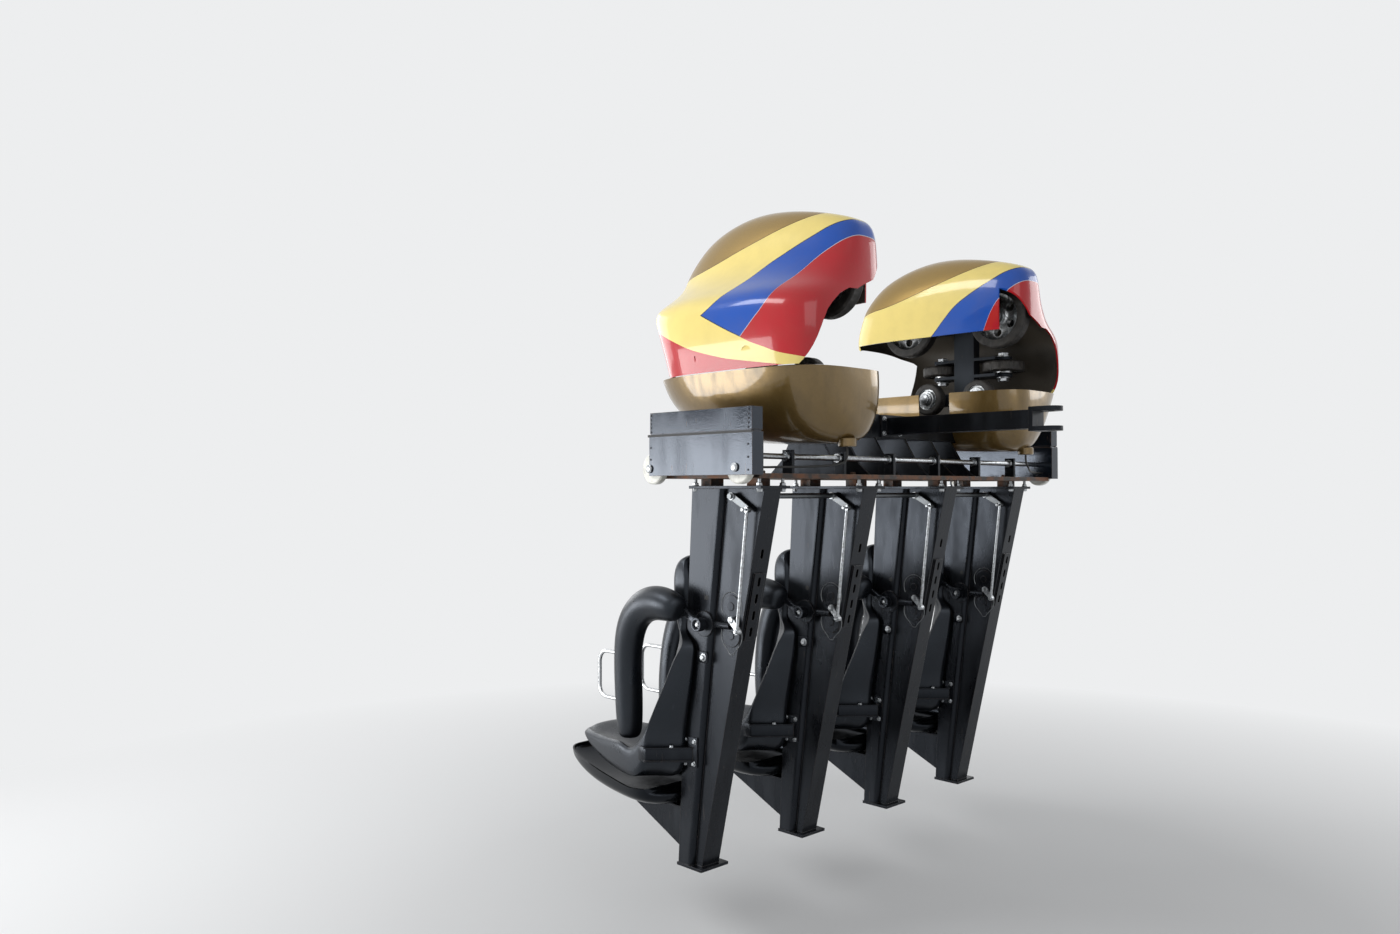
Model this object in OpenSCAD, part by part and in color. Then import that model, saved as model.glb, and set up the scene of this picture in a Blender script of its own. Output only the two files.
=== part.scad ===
// Car of an inverted roller coaster train: a wheeled chassis under two rails with four hanging seats.
// Millimetres. +X is the car's left side, the car drives towards -Y, +Z is up.
// The origin lies midway between the rail centres, level with them.

/* [Track] */
// Distance between the centres of the two rails
rail_gauge = 1360; // [1320:10:1400]
// Outer diameter of a rail
rail_d = 150; // [140:1:156]

/* [Wheels] */
// Diameter of a running wheel, which rolls on top of the rail
running_d = 320; // [300:2:326]
// Width of a running wheel
running_w = 66; // [50:1:70]
// Distance between the two running wheels on a rail
running_pitch = 540; // [520:5:560]
// Diameter of a side wheel, which rolls on the rail's outer side
side_d = 216; // [190:2:220]
// Width of a side wheel
side_w = 56; // [44:1:60]
// Distance between the two side wheels on a rail
side_pitch = 370; // [350:5:400]
// Diameter of an upstop wheel, which runs under the rail
upstop_d = 170; // [150:2:180]
// Width of an upstop wheel
upstop_w = 60; // [50:1:66]
// Distance between the two upstop wheels on a rail
upstop_pitch = 300; // [260:5:320]
// Gap between the rail and an upstop wheel
upstop_gap = 3; // [2:0.5:6]
// Diameter of the wheel axles
axle_d = 50; // [44:1:56]
// Thickness of the tyres
tyre_t = 34; // [20:1:40]
// Diameter of a nylon guide roller at the end of the deck
roller_d = 132; // [110:2:140]
// Width of a guide roller
roller_w = 36; // [28:1:40]
// Diameter of a guide roller's pin
roller_pin_d = 30; // [24:1:36]
// Radial clearance of everything that turns on a pin
bearing_gap = 0.05; // [0.02:0.01:0.09]

/* [Carrier] */
// Thickness of the carrier's longitudinal arms
arm_t = 56; // [44:2:60]
// Height of the arm that carries the running wheels
arm_h = 84; // [70:2:100]
// Length of the carrier's spine along the car
spine_l = 120; // [90:5:130]
// Distance from the rail's outer side to the spine
spine_gap = 22; // [16:1:30]
// Thickness of the plates that hold the side wheels
fork_t = 16; // [12:1:20]

/* [Chassis] */
// Height of the cross beam
beam_h = 110; // [90:5:120]
// Width of the cross beam along the car
beam_l = 160; // [140:5:180]
// Depth of the cross beam's top below the rail centres
beam_drop = 290; // [280:5:300]
// Depth of the deck's underside below the rail centres
deck_drop = 600; // [580:5:620]
// Thickness of the deck plate
deck_t = 19; // [12:1:25]
// Length of the deck plate along the car
deck_l = 560; // [520:10:600]
// Distance between the front and the rear coupling pin, one car's length
car_pitch = 1800; // [1700:10:1900]
// Side of the square coupling tubes
bar_s = 80; // [60:5:90]
// Diameter of the coupling pins
coupling_pin_d = 40; // [30:2:46]

/* [Guide boxes] */
// Width of the car over the guide boxes
car_w = 2408; // [2380:4:2440]
// Thickness of a guide box across the car
box_t = 64; // [58:2:80]
// Length of a guide box along the car
box_l = 600; // [580:10:620]
// Height of the lower block, which holds the rollers
box_low_h = 169; // [150:1:180]
// Height of the upper block
box_up_h = 97; // [80:1:110]
// Wall thickness of the guide boxes
box_wall = 8; // [6:1:10]

/* [Hangers] */
// Distance between two neighbouring seats
seat_pitch = 650; // [640:5:680]
// Height of the clamp blocks between deck and hangers
clamp_h = 30; // [20:1:40]
// Length of a hanger from its top plate to its foot
hanger_h = 1615; // [1600:5:1640]
// Width of the hanger's front box
hanger_w = 150; // [140:2:156]
// Width of the hanger's rear channel
channel_w = 100; // [84:2:110]
// Wall thickness of the rear channel
channel_wall = 8; // [5:1:12]
// Radius of the fold between front box and rear channel
fold_r = 24; // [10:1:30]
// Thickness of the hanger's top and foot plates
plate_t = 12; // [8:1:16]
// Diameter of the restraint's pivot shaft
pivot_d = 32; // [26:1:38]
// Depth of the pivot below the hanger's top
pivot_drop = 580; // [570:5:590]

/* [Seat] */
// Half width of the seat over its hips
seat_half_w = 222; // [205:1:230]
// Half width of the head pad
head_half_w = 82; // [70:1:84]
// Thickness of the tray's shell
tray_t = 7; // [5:0.5:9]

/* [Restraint] */
// Distance of a shoulder pad from the middle of the seat
shoulder_x = 155; // [153:1:162]
// Distance of a leg pad from the middle of the seat
leg_x = 128; // [122:1:134]
// Diameter of the hand grips' tube
grip_d = 19; // [16:1:24]

/* [Release] */
// Diameter of the two shafts that cross the car
shaft_d = 24; // [18:1:28]
// Diameter of the release rods
rod_d = 14; // [10:1:18]

/* [Covers] */
// Thickness of the moulded covers
cover_t = 8; // [6:0.5:10]
// Diameter of the cable under the covers
cable_d = 10; // [8:1:12]

/* [Hidden] */
$fn = 48;

rail_x = rail_gauge / 2;
rail_r = rail_d / 2;
seat_gap = 0.3;
// Wheel centres; the pairs sit a little behind the middle of the car, as the covers do
wheels_y = -10;
running_z = rail_r + running_d / 2;
side_x = rail_x + rail_r + side_d / 2;
upstop_z = -rail_r - upstop_gap - upstop_d / 2;
spine_x = rail_x + rail_r + spine_gap;
beam_top = -beam_drop;
beam_bottom = beam_top - beam_h;
beam_mid = (beam_top + beam_bottom) / 2;
deck_bottom = -deck_drop;
deck_top = deck_bottom + deck_t;
hanger_top = deck_bottom - clamp_h;
hanger_foot = hanger_top - hanger_h;
box_in_x = car_w / 2 - box_t;
box_bottom = deck_top - 7;
box_seam = box_bottom + box_low_h;
box_top = box_seam + box_up_h;
roller_z = box_bottom + 30;
roller_y = [-box_l / 2 + 4, box_l / 2 - 92];
seat_x = [for (i = [0:3]) (1.5 - i) * seat_pitch];

// Hanger side view, measured from the track's centre plane: y at the top and at the foot
front_top = -196;
front_foot = -282;
fold_top = -11;
fold_foot = -202;
rear_top = 203;
rear_foot = -162;
function along(a, b, z) = a + (b - a) * (hanger_top - z) / hanger_h;
function front_y(z) = along(front_top, front_foot, z);
function fold_y(z) = along(fold_top, fold_foot, z);
function rear_y(z) = along(rear_top, rear_foot, z);
pivot_y = -115;
pivot_z = hanger_top - pivot_drop;

// Release gear on the left side of each hanger
release_y = 36;
release_z = hanger_top - 43;
rod_top = [131, hanger_top - 97];
rod_low = [73, hanger_top - 597];
low_lever = [31, hanger_top - 553];
lever_x = channel_w / 2 + 16;
lever_t = 8;
lock_y = 200;
lock_z = deck_top + 71;
post_x = [for (s = [-1, 1], x = [180, 540, 880]) s * x];

function unit(v) = v / norm(v);
function flat(rows) = [for (row = rows) each row];

// Triangles between successive pairs of points, which close a ring by a seam across it
function seam(pairs) = [for (k = [0:len(pairs) - 2])
  let (p = pairs[k], q = pairs[k + 1])
  each concat(p[0] == p[1] ? [] : [[p[0], q[1], p[1]]], q[0] == q[1] ? [] : [[p[0], q[0], q[1]]])];

function turned(faces) = [for (f = faces) [f[2], f[1], f[0]]];

// Pairs of points across a ring of n: over a ridge between the points at a and a + n / 2,
// or from end to end of a ring that runs out and back
function ridge_pairs(n, a) = [for (k = [0:n / 2]) [(a + k) % n, (a - k + n) % n]];
function strip_pairs(n) = [for (k = [0:n / 2 - 1]) [k, n - 1 - k]];

// Closed rings of points joined into a solid; its ends are closed flat, or by a seam of pairs
module loft(rings, pairs = []) {
  m = len(rings);
  n = len(rings[0]);
  last = (m - 1) * n;
  start_cap = len(pairs) == 0 ? [[for (j = [0:n - 1]) j]] : seam(pairs);
  end_cap = len(pairs) == 0 ? [[for (j = [n - 1:-1:0]) last + j]]
    : [for (f = turned(seam(pairs))) [for (k = f) last + k]];
  polyhedron(
    flat(rings),
    concat(
      start_cap,
      [for (i = [0:m - 2], j = [0:n - 1]) [i * n + j, (i + 1) * n + j, i * n + (j + 1) % n]],
      [for (i = [0:m - 2], j = [0:n - 1])
        [(i + 1) * n + j, (i + 1) * n + (j + 1) % n, i * n + (j + 1) % n]],
      end_cap));
}

// Outward normal of a bowl of rings at ring i, point j
function ring_normal(g, i, j) =
  let (m = len(g), n = len(g[0]),
    along_ring = g[i][(j + 1) % n] - g[i][(j + n - 1) % n],
    across = g[min(i + 1, m - 1)][j] - g[max(i - 1, 0)][j])
  unit(cross(along_ring, across));

// Wall of thickness t inside rings that run from a rim up to a crown, or down to a keel
function inner_ring(g, i, t) = [for (j = [0:len(g[0]) - 1]) g[i][j] - t * ring_normal(g, i, j)];
function bowl_up(g, t) = concat([for (i = [len(g) - 1:-1:0]) inner_ring(g, i, t)], g);
function bowl_down(g, t) = concat(
  [for (i = [len(g) - 1:-1:0]) g[i]], [for (i = [0:len(g) - 1]) inner_ring(g, i, -t)]);

// Tube of n sides along a route, with a radius at each point
function tube_ring(p, dir, rx, r, n) =
  let (side = [1, 0, 0], up = unit(cross(dir, side)))
  [for (k = [0:n - 1]) p + rx * cos(360 * k / n) * side + r * sin(360 * k / n) * up];
function tube_dirs(route) = [for (i = [0:len(route) - 1])
  unit(route[min(i + 1, len(route) - 1)] - route[max(i - 1, 0)])];

// A flat plate from a side view of [y, z] points, centred on x
module side_plate(points, x, t) {
  translate([x - t / 2, 0, 0]) rotate([90, 0, 90]) linear_extrude(t) polygon(points);
}

// A round bar along X, Y or Z from its start
module bar_x(x, y, z, d, l) { translate([x, y, z]) rotate([0, 90, 0]) cylinder(d = d, h = l); }
module bar_z(x, y, z, d, l) { translate([x, y, z]) cylinder(d = d, h = l); }

module block(from, to) { translate(from) cube(to - from); }

module mirrored(side) {
  if (side > 0) children();
  else mirror([1, 0, 0]) children();
}

// Chassis

module cross_beam() {
  color("#2b2d30") {
    difference() {
      block([-spine_x, wheels_y - beam_l / 2, beam_bottom], [spine_x, wheels_y + beam_l / 2, beam_top]);
      for (s = [-1, 1])
        block([s * 380 - 290, wheels_y - beam_l / 2 + 12, beam_bottom + 12],
          [s * 380 + 290, wheels_y + beam_l / 2 - 12, beam_top - 12]);
    }
  }
}

gusset_x = [for (s = [-1, 1], x = [120, 340, 520]) s * x];

module deck_frame() {
  color("#2b2d30") {
    for (x = gusset_x)
      side_plate([
        [wheels_y - beam_l / 2, beam_bottom], [wheels_y + beam_l / 2, beam_bottom],
        [150, lock_z - 20], [deck_l / 2 - 70, deck_top], [-deck_l / 2 + 50, deck_top], [-150, lock_z]],
        x, 14);
    for (x = post_x)
      difference() {
        block([x - 8, lock_y - 26, deck_top], [x + 8, lock_y + 26, lock_z + 28]);
        bar_x(x - 9, lock_y, lock_z, shaft_d + 2 * bearing_gap, 18);
      }
  }
}

module deck_plate() {
  color("#6b4a38") {
    difference() {
      block([-box_in_x, -deck_l / 2, deck_bottom], [box_in_x, deck_l / 2, deck_top]);
      for (x = [-seat_pitch, 0, seat_pitch])
        translate([x, 20, deck_bottom - 1]) linear_extrude(deck_t + 2) {
          square([140, 120], center = true);
          for (s = [-1, 1]) translate([s * 70, 0]) circle(d = 120);
        }
    }
    for (x = seat_x, y = [-150, 120])
      block([x - 38, y - 30, hanger_top], [x + 38, y + 30, deck_bottom]);
  }
}

module drawbar() {
  tip = -car_pitch / 2;
  color("#2b2d30") difference() {
    union() {
      block([-bar_s / 2, tip + 40, beam_mid - bar_s / 2],
        [bar_s / 2, wheels_y - beam_l / 2 - 10, beam_mid + bar_s / 2]);
      block([-80, wheels_y - beam_l / 2 - 12, beam_bottom + 4],
        [80, wheels_y - beam_l / 2, beam_top - 4]);
      bar_z(0, tip, beam_mid - 30, 96, 60);
    }
    bar_z(0, tip, beam_mid - 31, coupling_pin_d, 62);
    for (s = [-1, 1])
      block([-60, tip - 60, beam_mid + min(s * 30, s * 60)], [60, tip + 58, beam_mid + max(s * 30, s * 60)]);
  }
}

module coupling_clevis() {
  tip = car_pitch / 2;
  gap = 64;
  ear = 20;
  color("#2b2d30") difference() {
    union() {
      block([-bar_s / 2, wheels_y + beam_l / 2 + 10, beam_mid - bar_s / 2],
        [bar_s / 2, tip - 60, beam_mid + bar_s / 2]);
      block([-80, wheels_y + beam_l / 2, beam_bottom + 4],
        [80, wheels_y + beam_l / 2 + 12, beam_top - 4]);
      for (z = [beam_mid - gap / 2 - ear, beam_mid + gap / 2]) {
        bar_z(0, tip, z, 96, ear);
        block([-48, tip - 80, z], [48, tip, z + ear]);
      }
      block([-48, tip - 80, beam_mid - gap / 2 - ear], [48, tip - 60, beam_mid + gap / 2 + ear]);
    }
    bar_z(0, tip, beam_mid - gap, coupling_pin_d, 2 * gap);
  }
}

// Wheel carriers

module carrier() {
  running_y = [for (s = [-1, 1]) wheels_y + s * running_pitch / 2];
  side_y = [for (s = [-1, 1]) wheels_y + s * side_pitch / 2];
  upstop_y = [for (s = [-1, 1]) wheels_y + s * upstop_pitch / 2];
  tip = 46;
  color("#3a3d40") {
    difference() {
      union() {
        block([spine_x, wheels_y - spine_l / 2, beam_bottom],
          [spine_x + arm_t, wheels_y + spine_l / 2, running_z]);
        // Upper arm, with round ends around the running wheels' axles
        block([spine_x, running_y[0], running_z - arm_h / 2],
          [spine_x + arm_t, running_y[1], running_z + arm_h / 2]);
        for (y = running_y) bar_x(spine_x, y, running_z, arm_h, arm_t);
        // Lower arm, around the upstop wheels' axles
        block([spine_x, upstop_y[0], upstop_z - 32], [spine_x + arm_t, upstop_y[1], upstop_z + 32]);
        for (y = upstop_y) bar_x(spine_x, y, upstop_z, 64, arm_t);
        // Plates above and below the side wheels
        for (s = [-1, 1]) {
          z = s > 0 ? side_w / 2 + 8 : -side_w / 2 - 8 - fork_t;
          block([spine_x, wheels_y - spine_l / 2, z], [side_x, wheels_y + spine_l / 2, z + fork_t]);
          for (y = side_y) {
            bar_z(side_x, y, z, 2 * tip, fork_t);
            block([spine_x, min(y, wheels_y), z], [side_x + tip, max(y, wheels_y), z + fork_t]);
          }
        }
      }
      for (s = [-1, 1]) bar_x(spine_x - 1, wheels_y + s * 130, running_z, arm_h - 36, arm_t + 2);
    }
    for (y = running_y)
      bar_x(rail_x - running_w / 2 - 12, y, running_z, axle_d, spine_x - rail_x + running_w / 2 + 14);
    for (y = upstop_y)
      bar_x(rail_x - upstop_w / 2 - 10, y, upstop_z, axle_d, spine_x - rail_x + upstop_w / 2 + 12);
    for (y = side_y) bar_z(side_x, y, -side_w / 2 - 10 - fork_t, axle_d, side_w + 20 + 2 * fork_t);
    // Bracket under the cover's post
    block([rail_x + 12, wheels_y - 22, running_z + 20],
      [spine_x + arm_t, wheels_y + 22, running_z + arm_h / 2]);
  }
}

// A wheel about the Z axis: hub, dished web and bonded tyre
module wheel(d, w, t, bore, windows) {
  hub_r = bore / 2 + 18;
  rim_r = d / 2 - t;
  round_r = 10;
  difference() {
    rotate_extrude() polygon([
      [bore / 2, -w / 2 - 4], [hub_r, -w / 2 - 4], [hub_r + 3, -w / 4], [rim_r - 10, -w / 4],
      [rim_r - 8, -w / 2], [d / 2 - round_r, -w / 2], [d / 2 - 3, -w / 2 + 4], [d / 2, -w / 2 + round_r],
      [d / 2, w / 2 - round_r], [d / 2 - 3, w / 2 - 4], [d / 2 - round_r, w / 2],
      [rim_r - 8, w / 2], [rim_r - 10, w / 4], [hub_r + 3, w / 4],
      [hub_r, w / 2 + 4], [bore / 2, w / 2 + 4]]);
    if (windows > 0)
      for (k = [0:windows - 1])
        rotate(360 * k / windows) translate([(hub_r + rim_r - 7) / 2, 0, -w])
          cylinder(d = (rim_r - hub_r) * 0.5, h = 2 * w);
  }
}

module running_wheel(side, end) {
  color("#4a4c4e") translate([side * rail_x, wheels_y + end * running_pitch / 2, running_z])
    rotate([0, 90, 0]) wheel(running_d, running_w, tyre_t, axle_d + 2 * bearing_gap, 6);
}

module side_wheel(side, end) {
  color("#4a4c4e") translate([side * side_x, wheels_y + end * side_pitch / 2, 0])
    wheel(side_d, side_w, tyre_t * 0.7, axle_d + 2 * bearing_gap, 5);
}

module upstop_wheel(side, end) {
  color("#4a4c4e") translate([side * rail_x, wheels_y + end * upstop_pitch / 2, upstop_z])
    rotate([0, 90, 0]) wheel(upstop_d, upstop_w, tyre_t * 0.6, axle_d + 2 * bearing_gap, 0);
}

module guide_roller(side, end) {
  y = end < 0 ? roller_y[0] : roller_y[1];
  chamfer = 5;
  color("#e8e8e0") translate([side * (box_in_x + box_t / 2), y, roller_z]) rotate([0, 90, 0]) rotate_extrude()
    polygon([
      [roller_pin_d / 2 + bearing_gap, -roller_w / 2], [roller_d / 2 - chamfer, -roller_w / 2],
      [roller_d / 2, -roller_w / 2 + chamfer], [roller_d / 2, roller_w / 2 - chamfer],
      [roller_d / 2 - chamfer, roller_w / 2], [roller_pin_d / 2 + bearing_gap, roller_w / 2]]);
}

// Guide boxes at both ends of the deck

module guide_box() {
  x0 = box_in_x;
  x1 = car_w / 2;
  color("#1d2024") {
    difference() {
      block([x0, -box_l / 2, box_bottom], [x1, box_l / 2, box_seam]);
      block([x0 + box_wall, -box_l / 2 - 1, box_bottom - 1],
        [x1 - box_wall, box_l / 2 - box_wall, box_seam - box_wall]);
    }
    block([x0 + 3, -box_l / 2 + 8, box_seam - 1], [x1 - 3, box_l / 2 - 8, box_seam + 8]);
    block([x0 + 1, -box_l / 2 + 3, box_seam + 8], [x1 - 2, box_l / 2 - 3, box_top]);
    for (y = roller_y) {
      bar_x(x0 + 2, y, roller_z, roller_pin_d, box_t - 2);
      bar_x(x1 - 1, y, roller_z, 32, 6);
    }
  }
}

// Moulded covers. Each level of a cover is a closed loop around the wheels; the columns of its table are
// z at the front, middle and rear, reach outwards, inwards, to the rear and to the front, and how square
// the loop's outer front and outer rear corners are.

cover_x = rail_x + 20;
cover_y = -50;
cover_foot = -150;
cover_levels = [
  [cover_foot, cover_foot, cover_foot, 345, 170, 500, -425, 4.2, 6],
  [-60, -60, -60, 366, 172, 506, -445, 4, 6],
  [50, 50, 50, 371, 175, 508, -500, 3.8, 5.5],
  [118, 122, 112, 368, 178, 509, -532, 3.8, 5],
  [155, 168, 155, 340, 180, 509, -540, 3.8, 4.2],
  [190, 208, 198, 284, 182, 508, -536, 3.4, 3.2],
  [225, 255, 245, 230, 182, 507, -528, 3, 3],
  [260, 315, 305, 184, 180, 505, -516, 2.8, 2.8],
  [295, 375, 365, 158, 176, 503, -504, 2.8, 2.8],
  [335, 435, 418, 142, 166, 498, -492, 2.7, 2.7],
  [405, 503, 458, 114, 136, 486, -444, 2.5, 2.6],
  [475, 548, 490, 78, 96, 430, -380, 2.4, 2.4],
  [540, 572, 522, 26, 36, 260, -240, 2.2, 2.2]];
cover_crown = cover_levels[len(cover_levels) - 1];
cover_columns = 36;
inner_square = 4.5;

// Edges of the finished cover: seen from behind, [x, z], round rail and wheels, and from the side, [y, z],
// from the nose down to the skirt's front edge
tail_edge = [
  [500, 380], [550, 350], [600, 275], [642, 218], [710, 189], [750, 168], [800, 166], [856, 138], [900, 98],
  [926, 66], [946, 20], [972, -50], [1010, cover_foot]];
nose_edge = [[-640, 150], [-588, 146], [-530, 108], [-478, 84], [-462, 70], [-452, cover_foot]];
inner_edge = 150;

// Height at a share f of the way from front (-1) over the middle (0) to the rear (1)
function three_point(front, mid, rear, f) = mid + (rear - front) / 2 * f + ((rear + front) / 2 - mid) * f * f;

// Point of a level at angle a, where 0 is outboard, 90 the rear, 180 inboard and 270 the front
function level_point(row, a) =
  let (c = cos(a), s = sin(a), out = c > 0 ? row[3] : row[4], reach = s > 0 ? row[5] : -row[6],
    e = c < 0 ? min(inner_square, row[7] + 2) : s > 0 ? row[8] : row[7],
    k = pow(pow(abs(c), e) + pow(abs(s), e), -1 / e), f = k * s)
  [cover_x + k * c * out, cover_y + f * reach, three_point(row[0], row[1], row[2], f)];

function level_grid(levels, n) = [for (row = levels) [for (j = [0:n - 1]) level_point(row, 360 * j / n)]];

module cover() {
  post_top = cover_crown[1] - cover_t / 2;
  below = cover_foot - 20;
  color("#c9a84e") {
    difference() {
      loft(bowl_up(level_grid(cover_levels, cover_columns), cover_t),
        ridge_pairs(cover_columns, cover_columns / 4));
      translate([0, 520, 0]) rotate([90, 0, 0]) linear_extrude(180)
        polygon(concat(tail_edge, [[tail_edge[len(tail_edge) - 1][0], below], [tail_edge[0][0], below]]));
      side_plate(concat(nose_edge, [[nose_edge[len(nose_edge) - 1][0], below], [nose_edge[0][0], below]]),
        cover_x, 800);
      block([rail_x - 200, -640, below], [rail_x - 80, 520, inner_edge]);
    }
    bar_z(rail_x + 36, wheels_y, running_z + arm_h / 2, 36, post_top - running_z - arm_h / 2);
  }
}

// Bowls under the covers, in the same columns
dome_rim = cover_foot - 3;
dome_levels = [
  [dome_rim, dome_rim, dome_rim, 341, 210, 500, -520, 3.4, 5],
  [-220, -220, -220, 330, 210, 505, -520, 2.8, 3.6],
  [-290, -310, -320, 305, 200, 500, -470, 2.6, 2.7],
  [-340, -380, -390, 250, 170, 480, -400, 2.4, 2.4],
  [-380, -425, -436, 180, 130, 455, -300, 2.3, 2.4],
  [-410, -446, -454, 90, 80, 400, -170, 2.2, 2.4]];
dome_columns = 28;

module dome() {
  color("#a88a4a") difference() {
    union() {
      loft(bowl_down(level_grid(dome_levels, dome_columns), cover_t),
        ridge_pairs(dome_columns, dome_columns / 4));
      bar_z(cable_stub[0], cable_stub[1], cable_stub[2], 76, 34);
      bar_z(rail_x + 40, wheels_y, -444, 44, 444 + beam_bottom);
    }
    // The inboard wall is cut down where the cross beam enters
    block([rail_x - 300, wheels_y - beam_l / 2 - 12, beam_bottom - 8],
      [rail_x - 20, wheels_y + beam_l / 2 + 12, -100]);
  }
}

// The cable hangs from the dome's stub and runs along under the deck's edge to the guide box; the shares
// are its way outwards and forwards.
cable_stub = [rail_x + 40, 380, -472];
cable_end = [box_in_x, box_l / 2 - 56, roller_z + 1];
cable_route = concat(
  [cable_stub, cable_stub - [0, 0, 18], cable_stub + [4, 1, -40], cable_stub + [20, 1, -60]],
  [for (p = [
    [0.14, 0.1, 13], [0.29, 0.32, 6], [0.47, 0.56, 3], [0.65, 0.78, 2], [0.83, 0.95, 0], [0.94, 1, 0]])
    [cable_stub[0] + p[0] * (cable_end[0] - cable_stub[0]),
      cable_stub[1] + p[1] * (cable_end[1] - cable_stub[1]), cable_end[2] + p[2]]],
  [cable_end]);

module cable() {
  dirs = tube_dirs(cable_route);
  r = cable_d / 2;
  color("#151515") loft([for (i = [0:len(cable_route) - 1])
    let (side = [0, 1, 0], up = unit(cross(dirs[i], side)), out = cross(up, dirs[i]))
    [for (k = [0:7]) cable_route[i] + r * cos(45 * k) * out + r * sin(45 * k) * up]]);
}

// Hangers

slots_z = [hanger_top - 280, for (k = [0:3]) hanger_top - 395 - 70 * k];

module hanger_section() {
  // Front box with rounded rear corners, wider than any hanger needs to the front
  polygon(concat(
    [[-hanger_w / 2, -300], [hanger_w / 2, -300]],
    [for (a = [0:15:90]) [hanger_w / 2 - fold_r + fold_r * cos(a), -fold_r + fold_r * sin(a)]],
    [for (a = [90:15:180]) [-hanger_w / 2 + fold_r + fold_r * cos(a), -fold_r + fold_r * sin(a)]]));
}

module hanger(i) {
  lean = atan((fold_top - fold_foot) / hanger_h);
  x = seat_x[i];
  color("#1c1e21") translate([x, 0, 0]) difference() {
    union() {
      // Front box: the rounded section runs along the fold and is cut to the front edge
      intersection() {
        translate([0, fold_y(hanger_foot - 60), hanger_foot - 60]) rotate([-lean, 0, 0])
          linear_extrude((hanger_h + 120) / cos(lean)) hanger_section();
        side_plate(
          [[front_foot, hanger_foot], [0, hanger_foot], [0, hanger_top], [front_top, hanger_top]], 0, 200);
      }
      // Rear channel
      difference() {
        side_plate([
          [fold_foot - 10, hanger_foot], [rear_foot, hanger_foot], [rear_top, hanger_top],
          [fold_top - 10, hanger_top]], 0, channel_w);
        side_plate([
          [fold_foot, hanger_foot], [rear_foot - 10, hanger_foot], [rear_top - 10, hanger_top - plate_t],
          [fold_top, hanger_top - plate_t]], 0, channel_w - 2 * channel_wall);
      }
      block([-88, front_top - 8, hanger_top - plate_t], [88, rear_top + 12, hanger_top]);
      block([-hanger_w / 2 - 6, front_foot - 4, hanger_foot - plate_t],
        [hanger_w / 2 + 6, rear_foot + 26, hanger_foot]);
      // Slotted strip on the channel's rear wall
      strip_low = hanger_top - 640;
      strip_high = hanger_top - 360;
      side_plate([
        [rear_y(strip_low) - 1, strip_low], [rear_y(strip_low) + 9, strip_low],
        [rear_y(strip_high) + 9, strip_high], [rear_y(strip_high) - 1, strip_high]], 0, 60);
      // Fin under the seat, with the flange that the tray rests on
      fin_front = -660;
      fin_top = tray_belly - seat_gap - 8;
      side_plate([
        [front_foot + 4, hanger_foot + 6], [front_foot + 4, fin_top], [fin_front, fin_top],
        [fin_front, hanger_foot + 6 + 0.46 * (front_foot - fin_front)]], 0, 12);
      block([-60, fin_front, fin_top], [60, -262, fin_top + 8]);
      // Bearing flanges of the restraint's pivot
      for (s = [-1, 1]) bar_x(s > 0 ? hanger_w / 2 - 1 : -hanger_w / 2 - 12, pivot_y, pivot_z, 106, 13);
      // Bar from the bearing flange back to the teardrop plate with two plugs on the channel's left side
      translate([channel_w / 2 + 12, pivot_y + 50, pivot_z]) rotate([-90, 0, 0]) cylinder(d = 30, h = 84);
      for (z = [rod_low[1] + 97, rod_low[1] - 23]) {
        bar_x(channel_w / 2 - 1, 14, z, 96, 5);
        bar_x(channel_w / 2 - 1, 14, z, 34, 8);
      }
    }
    bar_x(-hanger_w, pivot_y, pivot_z, pivot_d + 2 * bearing_gap, 2 * hanger_w);
    bar_x(-hanger_w, release_y, release_z, shaft_d + 2 * bearing_gap, 2 * hanger_w);
    bar_x(0, low_lever[0], low_lever[1], 20 + 2 * bearing_gap, hanger_w);
    for (z = slots_z)
      translate([0, rear_y(z) - 30, z]) rotate([-90, 0, 0]) linear_extrude(60) {
        square([16, 24], center = true);
        for (s = [-1, 1]) translate([0, s * 12]) circle(d = 16);
      }
  }
}

// Release gear

module lever(from, to, x) {
  across = unit([to[1] - from[1], from[0] - to[0]]);
  r = 15;
  bar_x(x, from[0], from[1], 2 * r, lever_t);
  bar_x(x, to[0], to[1], 2 * r - 6, lever_t);
  side_plate([from + r * across, to + (r - 3) * across, to - (r - 3) * across, from - r * across],
    x + lever_t / 2, lever_t);
}

module release_shaft() {
  reach = seat_x[0] + lever_x + lever_t + 14;
  color("#9aa0a4") {
    bar_x(-reach + 60, release_y, release_z, shaft_d, 2 * reach - 60);
    for (x = seat_x) {
      lever([release_y, release_z], rod_top, x + lever_x);
      bar_x(x + lever_x, rod_top[0], rod_top[1], 10, lever_t + 20);
    }
  }
}

module release_rods() {
  eye_x = lever_x + lever_t + seat_gap;
  eye_t = 14;
  color("#b8bcc0") for (x = seat_x) {
    difference() {
      union() {
        hull_dir = unit([rod_low[0] - rod_top[0], rod_low[1] - rod_top[1]]);
        tilt = atan2(hull_dir[0], hull_dir[1]);
        translate([x + eye_x + eye_t / 2, rod_top[0], rod_top[1]]) rotate([180 - tilt + 180, 0, 0])
          cylinder(d = rod_d, h = norm(rod_low - rod_top));
        for (p = [rod_top, rod_low]) bar_x(x + eye_x, p[0], p[1], 24, eye_t);
      }
      bar_x(x + eye_x - 1, rod_top[0], rod_top[1], 10 + 2 * bearing_gap, eye_t + 2);
    }
    // Lower lever and its stub into the channel
    lever(low_lever, rod_low, x + lever_x);
    bar_x(x + lever_x, rod_low[0], rod_low[1], 10, lever_t + 2);
    bar_x(x + 10, low_lever[0], low_lever[1], 20, lever_x - 8);
  }
}

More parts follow.
